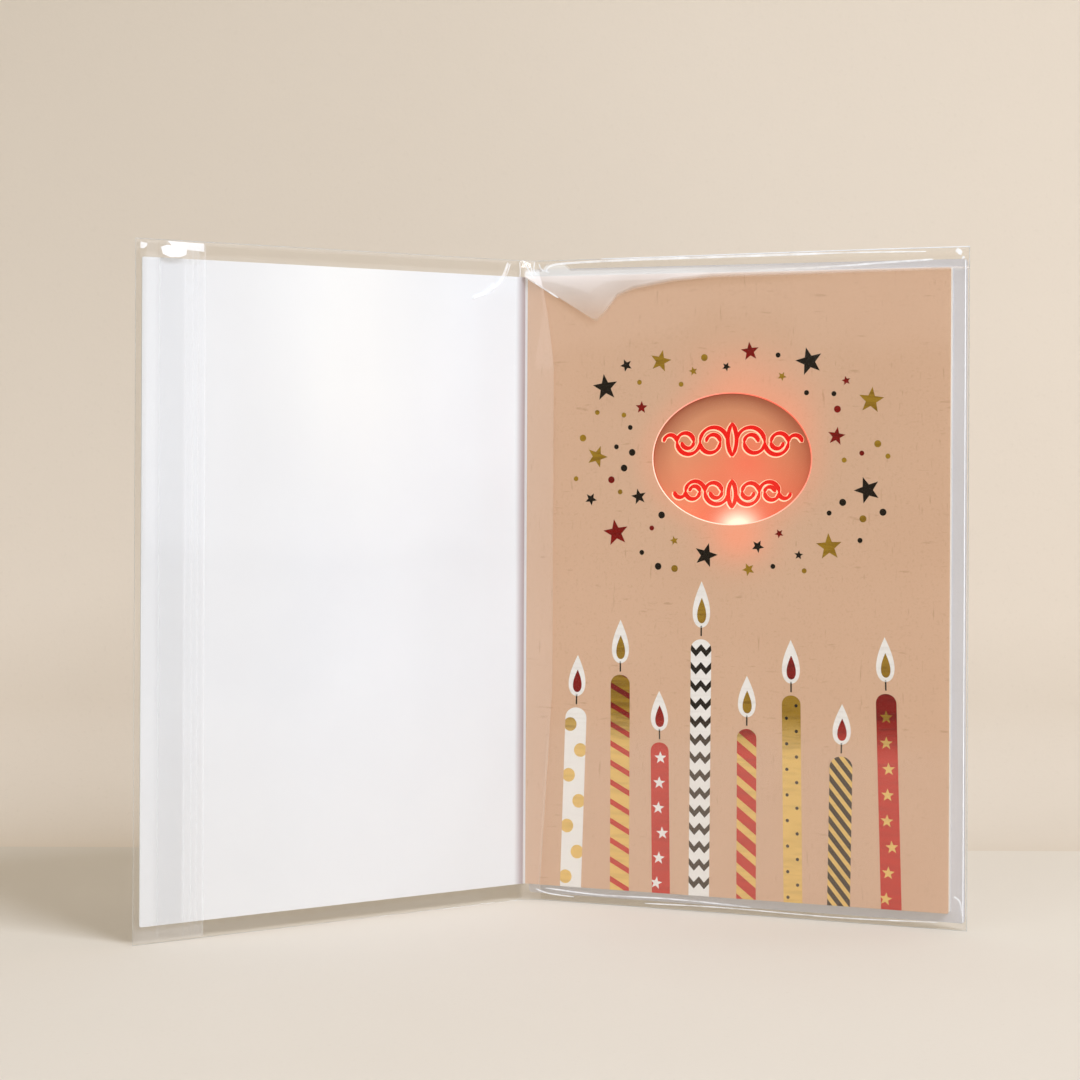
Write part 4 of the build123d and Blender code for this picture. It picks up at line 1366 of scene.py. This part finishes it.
def back_row(z):
    row = []
    for x in reversed(left_steps):
        place = left.point(x, z, back_left(x, z))
        row.append((place, 0.005 + edge_milk(z, bag_left_x[1] - x)))
    start = row[-1][0]
    end = right.point(FLAT_LEFT, z, back_right(FLAT_LEFT, z))
    corner = right.point(-1.6, z, back_proud - 1.0)
    for place in bridge(start, corner, end, 12):
        row.append((place, 0.03 + edge_milk(z, NO_END)))
    for share in right_shares:
        x = FLAT_LEFT + (bag_right_x[1] - FLAT_LEFT) * share
        place = right.point(x, raised(x, z), back_right(x, z))
        row.append((place, 0.01 + edge_milk(z, bag_right_x[1] - x)))
    return row


bag_back = film_sheet("bag_back_film", [back_row(z) for z in heights], back_film)
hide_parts("bag_back_left", "bag_back_right", "bag_spine_back")
print("back film:", len(bag_back.data.polygons), "squares")

# %% [markdown]
# Seen from behind, the envelope is white paper on white paper: only the soft shade along
# the free edge of its flap tells where the flap ends. The shade is a thin band on the
# envelope's back, just outside the flap's outline.

# %% Shade along the envelope's flap
edge_shade = paper(
    "flap_edge_shade", ink(196, 192, 190), ink(188, 184, 182), ink(174, 170, 168), flecks=0.2
)
lid_front = right.span("envelope_flap")[2][1]
lid_corners = [vertex.co - FOLD for vertex in nodes["envelope_flap"].data.vertices]
lid_line = sorted(
    {(round(c.z / MM, 2), round(c.dot(right.along) / MM, 2)) for c in lid_corners}
)
lid_line = [(x, z) for z, x in lid_line]
LID_SHADE = 1.2
lid_shade = Plate("envelope_flap_shade", edge_shade)
for quad in pen(lid_line, LID_SHADE):
    lid_shade.press(quad, -1, lid_front)
lid_shade.piece("back")
print("flap's edge has", len(lid_line), "points")

# %% [markdown]
# A welded edge of film ends in a fine rolled bead, and that bead is what glints along
# the top and the right end of the bag. It follows the border points of the front sheet.

# %% Rolled edges
bead_glint = film("edge_bead", ink(255, 253, 250), gloss=0.30, roughness=0.14)
top_line = [place for place, _ in front_rows[-1]]
foot_line = [place for place, _ in front_rows[0]]
end_line = [row[-1][0] for row in front_rows]
open_line = [row[0][0] for row in front_rows]
EDGE_BEADS = ((top_line, 0.13), (foot_line, 0.15), (end_line, 0.15), (open_line, 0.10))
bead_points, bead_faces = [], []
for path, radius in EDGE_BEADS:
    points, faces = tube(path, radius, 6)
    bead_faces += [tuple(i + len(bead_points) for i in face) for face in faces]
    bead_points += points
bag_bead = smooth_piece("bag_edge_bead", bead_points, bead_faces, bead_glint)
bend_start = right.point(FLAT_LEFT, 0)
bend_end = left.point(FLAT_LEFT, 0)
for piece in (bag_front, bag_back, bag_bead):
    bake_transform(piece)
print("beads along", len(EDGE_BEADS), "edges; the film bends within", FLAT_LEFT, "mm of the fold")

# %% [markdown]
# Creases in film are thin, bright and tapered. Over the right leaf the top edge and the
# welded end catch the lamp along their whole length. Near the top of the fold, where
# four layers meet, short bright strokes run every way. We draw each as a painted
# highlight: a pen stroke that lies just in front of the film.

# %% Bright creases
def gleam(name, strength, broken):
    """A painted highlight: a bright stroke. The higher broken is, the more the noise breaks it up.
    """
    recipe = Recipe(name)
    breaks = recipe.grain(160, 3.0)
    clear = recipe.add("BsdfTransparent", {}, {})
    bright = recipe.add(
        "BsdfPrincipled", {},
        {
            "Base Color": ink(246, 250, 255),
            "Roughness": breaks * 0.2 + 0.15,
            "Emission Color": recipe.mix(breaks, ink(240, 244, 255), ink(255, 255, 255)),
            "Emission Strength": 0.22,
        },
    )
    share = ((breaks - 0.5) * broken + 0.6).limited() * strength
    recipe.close(recipe.add("MixShader", {}, {0: share, 1: clear, 2: bright}))
    return recipe.material


crease_gleam = gleam("crease_gleam", 1.0, 1.2)
straight_gleam = gleam("straight_gleam", 0.95, 0.6)
RIGHT_STROKES = [
    # points (x, z), nib, how far in front of the leaf
    ([(0.6, 182.2), (4.0, 180.2), (10.5, 176.2)], 0.42, 1.0),
    ([(-0.2, 187.0), (1.0, 184.8), (2.6, 182.0)], 0.40, 1.3),
    ([(1.2, 186.6), (2.2, 184.2), (1.4, 182.8)], 0.30, 1.3),
    ([(3.0, 186.8), (2.8, 184.6), (3.4, 183.0)], 0.26, 1.2),
    ([(4.4, 186.2), (5.2, 184.6), (7.6, 183.6)], 0.30, 1.1),
    ([(128.6, 9.6), (130.3, 8.2), (131.0, 4.4)], 0.34, 0.2),
    ([(128.5, 187.3), (129.6, 186.6), (129.4, 185.9)], 1.2, 0.4),
    ([(130.2, 185.2), (130.6, 185.0), (130.7, 184.8)], 0.8, 0.4),
    (
        [(6.2, 184.0), (7.6, 185.6), (13.0, 186.3), (32.0, 186.8), (60.0, 187.0), (92.0, 187.2)],
        0.66, 0.2,
    ),
    ([(84.0, 187.2), (104.0, 187.2), (120.0, 187.0)], 0.34, 0.2),
    ([(70.0, 182.9), (92.0, 183.4), (108.0, 184.2), (122.0, 184.8)], 0.50, 0.2),
    ([(3.5, 3.6), (8.0, 2.4), (16.0, 1.9)], 0.30, 0.4),
    ([(7.0, 3.9), (24.0, 3.0), (46.0, 3.3), (70.0, 2.6)], 0.34, 0.3),
    ([(38.0, 1.5), (62.0, 1.9), (96.0, 1.5), (124.0, 2.2)], 0.30, 0.2),
]
LEFT_STROKES = [
    ([(16.8, 176.4), (13.0, 178.2), (10.4, 180.2), (8.6, 182.8), (7.0, 186.4)], 0.80, 0.30),
    ([(19.6, 175.6), (16.4, 176.9), (13.6, 178.3), (12.0, 180.0)], 1.0, 0.30),
    ([(9.4, 181.0), (7.4, 183.2), (6.2, 186.2)], 0.34, 0.25),
    ([(2.6, 186.8), (2.4, 184.0), (2.6, 182.4)], 0.26, 0.08),
]
for leaf, strokes, side, body in (
    (right, RIGHT_STROKES, "right", "back"), (left, LEFT_STROKES, "left", "cover"),
):
    crease_highlights = Plate("film_creases_" + side, crease_gleam, leaf)
    for points, nib, proud in strokes:
        for quad in pen(smooth_line(points), nib, 0.04):
            crease_highlights.press(quad, 0, proud)
    crease_highlights.piece(body)
# Glints along the welded end and the top edge: painted highlights.
end_gleam_path = [right.point(130.9, z, -0.75) for z in stations(2.5, 184.5, 6.0, False)]
end_gleam = smooth_piece("film_end_gleam", *tube(end_gleam_path, 0.15, 6), straight_gleam)
top_gleam_path = [place + UP * 0.05 * MM for place in top_line[-len(right_shares) + 12:]]
top_gleam = smooth_piece("film_top_gleam", *tube(top_gleam_path, 0.17, 6), straight_gleam)
for piece in (end_gleam, top_gleam):
    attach(piece, "back")

# %% [markdown]
# At the open end the bag has a seal flap with a strip of adhesive. It is folded over the
# front, so its fold, its free edge and both edges of the strip show as upright lines,
# and its top puffs up into a bright pucker. It is a sheet of its own, because it opens.

# %% Seal flap
flap_x, flap_z, _ = left.span("bag_flap")
strip_x, strip_z, _ = left.span("flap_adhesive")
FLAP_LIFT = 0.95
STRIP_LIFT = FLAP_LIFT - 0.22
PUCKER = (108.8, 122.6)


def flap_wave(x, z):
    return ripples(x, z, 51.0) * 0.15 * eased((flap_x[1] - x) / 8)


def flap_row(z):
    row = []
    for x in stations(*flap_x, 0.7, False):
        round_end = eased((flap_x[1] - x) / 2.2)
        proud = LEFT_SEAM + (FLAP_LIFT - LEFT_SEAM) * round_end
        proud += flap_wave(x, z)
        pucker = eased((z - CARD_HEAD + 0.6) / 1.2)
        pucker *= eased((x - PUCKER[0]) / 2) * eased((PUCKER[1] - x) / 2)
        # The pucker's brightness is painted sheen, carried as milk.
        milk = 0.012 + 0.12 * pucker + 0.12 * eased((CARD_FOOT - z) / 0.8)
        row.append((left.point(x, z, proud + 0.4 * pucker), milk))
    return row


flap_film = film_sheet(
    "bag_flap_film", [flap_row(z) for z in stations(*flap_z, 1.9, True)], clear_film
)
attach(flap_film, "flap")
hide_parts("bag_flap")


def strip_row(z):
    places = stations(*strip_x, 0.8, False)
    return [(left.point(x, z, STRIP_LIFT + flap_wave(x, z)), 0.02) for x in places]


strip = film_sheet(
    "flap_adhesive_strip", [strip_row(z) for z in stations(*strip_z, 2.2, False)], adhesive_film
)
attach(strip, "flap")
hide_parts("flap_adhesive")
print("flap", round(flap_x[1] - flap_x[0], 1), "strip", round(strip_x[1] - strip_x[0], 1), "mm")

# %% [markdown]
# The flap's upright lines are thin, faint painted highlights: its free edge, two soft folds
# beside it and the two sides of the adhesive strip. Where its top is squeezed, two bright
# painted patches catch the lamp, one crisp and one round, and a third sits at the corner.

# %% Lines and glints on the flap
FLAP_LINES = ((122.4, 0.60), (114.6, 0.50), (112.4, 0.60), (110.7, 0.50), (108.6, 0.70))
flap_lines = Plate("flap_lines", gleam("hair_gleam", 0.18, 0.1), left)
for x, width in FLAP_LINES:
    for quad in pen([(x, z) for z in (1.0, 60.0, 120.0, 186.4)], width):
        flap_lines.press(quad, 0, FLAP_LIFT + 0.32)
flap_lines.piece("flap")
FLAP_GLINTS = [
    [(120.4, 186.9), (109.3, 186.7), (109.2, 184.5), (113.6, 184.7), (118.9, 185.5)],
    [(122.4, 185.2), (120.6, 185.8), (117.0, 185.6), (114.5, 184.8), (114.7, 183.4),
     (116.6, 182.7), (119.6, 182.6), (121.8, 183.4)],
    [(128.5, 186.3), (126.4, 186.0), (126.6, 185.2), (127.6, 184.5), (128.5, 184.6)],
]
flap_glints = Plate("flap_glints", gleam("glint", 0.97, 0.5), left)
for patch in FLAP_GLINTS:
    flap_glints.press(patch, 0, FLAP_LIFT + 0.75)
flap_glints.piece("flap")

# %% [markdown]
# The set is a pale cream sweep: a floor that curves up into a wall close behind the
# card. The wall is so close that the card's soft shadow falls on it. Seen from behind,
# the wall would hide the card, so its finish lets light through from its back face.

# %% Floor and wall
def plaster(name, light, deep, shade, one_sided=False):
    recipe = Recipe(name)
    cloudy = recipe.grain(7, 4.0)
    crumbs = recipe.grain(700, 3.0)
    height = recipe.measure(UP)
    aside = recipe.measure(side_way)
    base = recipe.mix(cloudy, deep, light)
    leftward = ((aside * -1 + 60.0) / 330).limited()
    low = ((75.0 - height) / 70).limited()
    # Painted shade on the set: darker higher up, more on the left, and low down on the right.
    shaded = height.rising(40.0, 330) * (leftward * 0.45 + 0.55)
    shaded += low * aside.rising(0, 150) * 0.45
    base = recipe.mix(shaded, base, shade)
    base = recipe.mix(((crumbs - 0.6) * 6).limited() * 0.12, base, ink(200, 188, 170))
    sockets = {
        "Base Color": base,
        "Roughness": 0.85,
        "Normal": recipe.bumped(crumbs, 0.15, 0.0002),
    }
    shader = recipe.add("BsdfPrincipled", {}, sockets)
    if one_sided:
        back_face = recipe.add("NewGeometry", {}, {}, "Backfacing")
        clear = recipe.add("BsdfTransparent", {}, {})
        shader = recipe.add("MixShader", {}, {0: back_face, 1: shader, 2: clear})
    recipe.close(shader)
    return recipe.material


WALL_COLOURS = (ink(236, 225, 210), ink(231, 219, 203), ink(198, 187, 170))
FLOOR_COLOURS = (ink(228, 222, 211), ink(223, 216, 204), ink(223, 216, 204))
WALL_DISTANCE = 0.935
SWEEP_RADIUS = 0.045
WALL_HEIGHT = 2.2
SET_HALF = 2.4
eye = Vector(CAMERA_PLACE)
eye.z = 0


def sweep_sheet(name, profile, finish):
    points = []
    for distance, height in profile:
        for side in (-SET_HALF, SET_HALF):
            points.append(eye + view_way * distance + side_way * side + UP * height)
    faces = [(2 * k, 2 * k + 1, 2 * k + 3, 2 * k + 2) for k in range(len(profile) - 1)]
    obj = smooth_piece(name, points, faces, finish)
    return obj


sweep_start = WALL_DISTANCE - SWEEP_RADIUS
sweep_curve = []
for degrees in range(0, 91, 5):
    turn = math.radians(degrees)
    sweep_curve.append((
        sweep_start + SWEEP_RADIUS * math.sin(turn), SWEEP_RADIUS - SWEEP_RADIUS * math.cos(turn)
    ))
wall_plaster = plaster("wall_plaster", *WALL_COLOURS, one_sided=True)
wall = sweep_sheet("wall", sweep_curve + [(WALL_DISTANCE, WALL_HEIGHT)], wall_plaster)
wall.visible_shadow = False
for name, start, end, height in (
    ("floor", -2.0, sweep_start, 0.0), ("floor_behind", sweep_start, 4.0, -0.0004),
):
    sweep_sheet(name, [(start, height), (end, height)], plaster(name + "_plaster", *FLOOR_COLOURS))
print("wall stands", WALL_DISTANCE, "m from the camera")

# %% [markdown]
# The light is that of a product table: one large soft lamp to the right and in front,
# which lights the white cover most and sends the shadow to the left, a weaker one on
# the left, and an even, slightly warm room all round. The levels are low enough that
# white card stays just under pure white.

# %% Lamps and room
LAMPS = [
    # name, place, size, power
    ("key", (1.0, -1.40, 1.55), 1.0, 35.0),
    ("fill", (-1.3, -1.3, 0.9), 1.4, 6.6),
    ("side", (1.75, -0.95, 0.42), 0.8, 2.4),
]
LAMP_COLOUR = (0.945, 1.0, 1.13)
ROOM_COLOUR = (1.11, 0.968, 0.72, 1.0)
ROOM_STRENGTH = 0.33
CARD_MIDDLE = Vector((0, 0, 0.09))
for name, place, size, power in LAMPS:
    lamp = bpy.data.objects.new(name, bpy.data.lights.new(name, "AREA"))
    lamp.data.shape = "SQUARE"
    lamp.data.size = size
    lamp.data.energy = power
    lamp.data.color = LAMP_COLOUR
    lamp.location = place
    lamp.rotation_euler = (CARD_MIDDLE - Vector(place)).to_track_quat("-Z", "Y").to_euler()
    bpy.context.scene.collection.objects.link(lamp)
room = bpy.data.worlds.new("room")
room.use_nodes = True
room_light = room.node_tree.nodes["Background"]
room_light.inputs["Color"].default_value = ROOM_COLOUR
room_light.inputs["Strength"].default_value = ROOM_STRENGTH
bpy.context.scene.world = room
print("lamps:", [row[0] for row in LAMPS])

# %% [markdown]
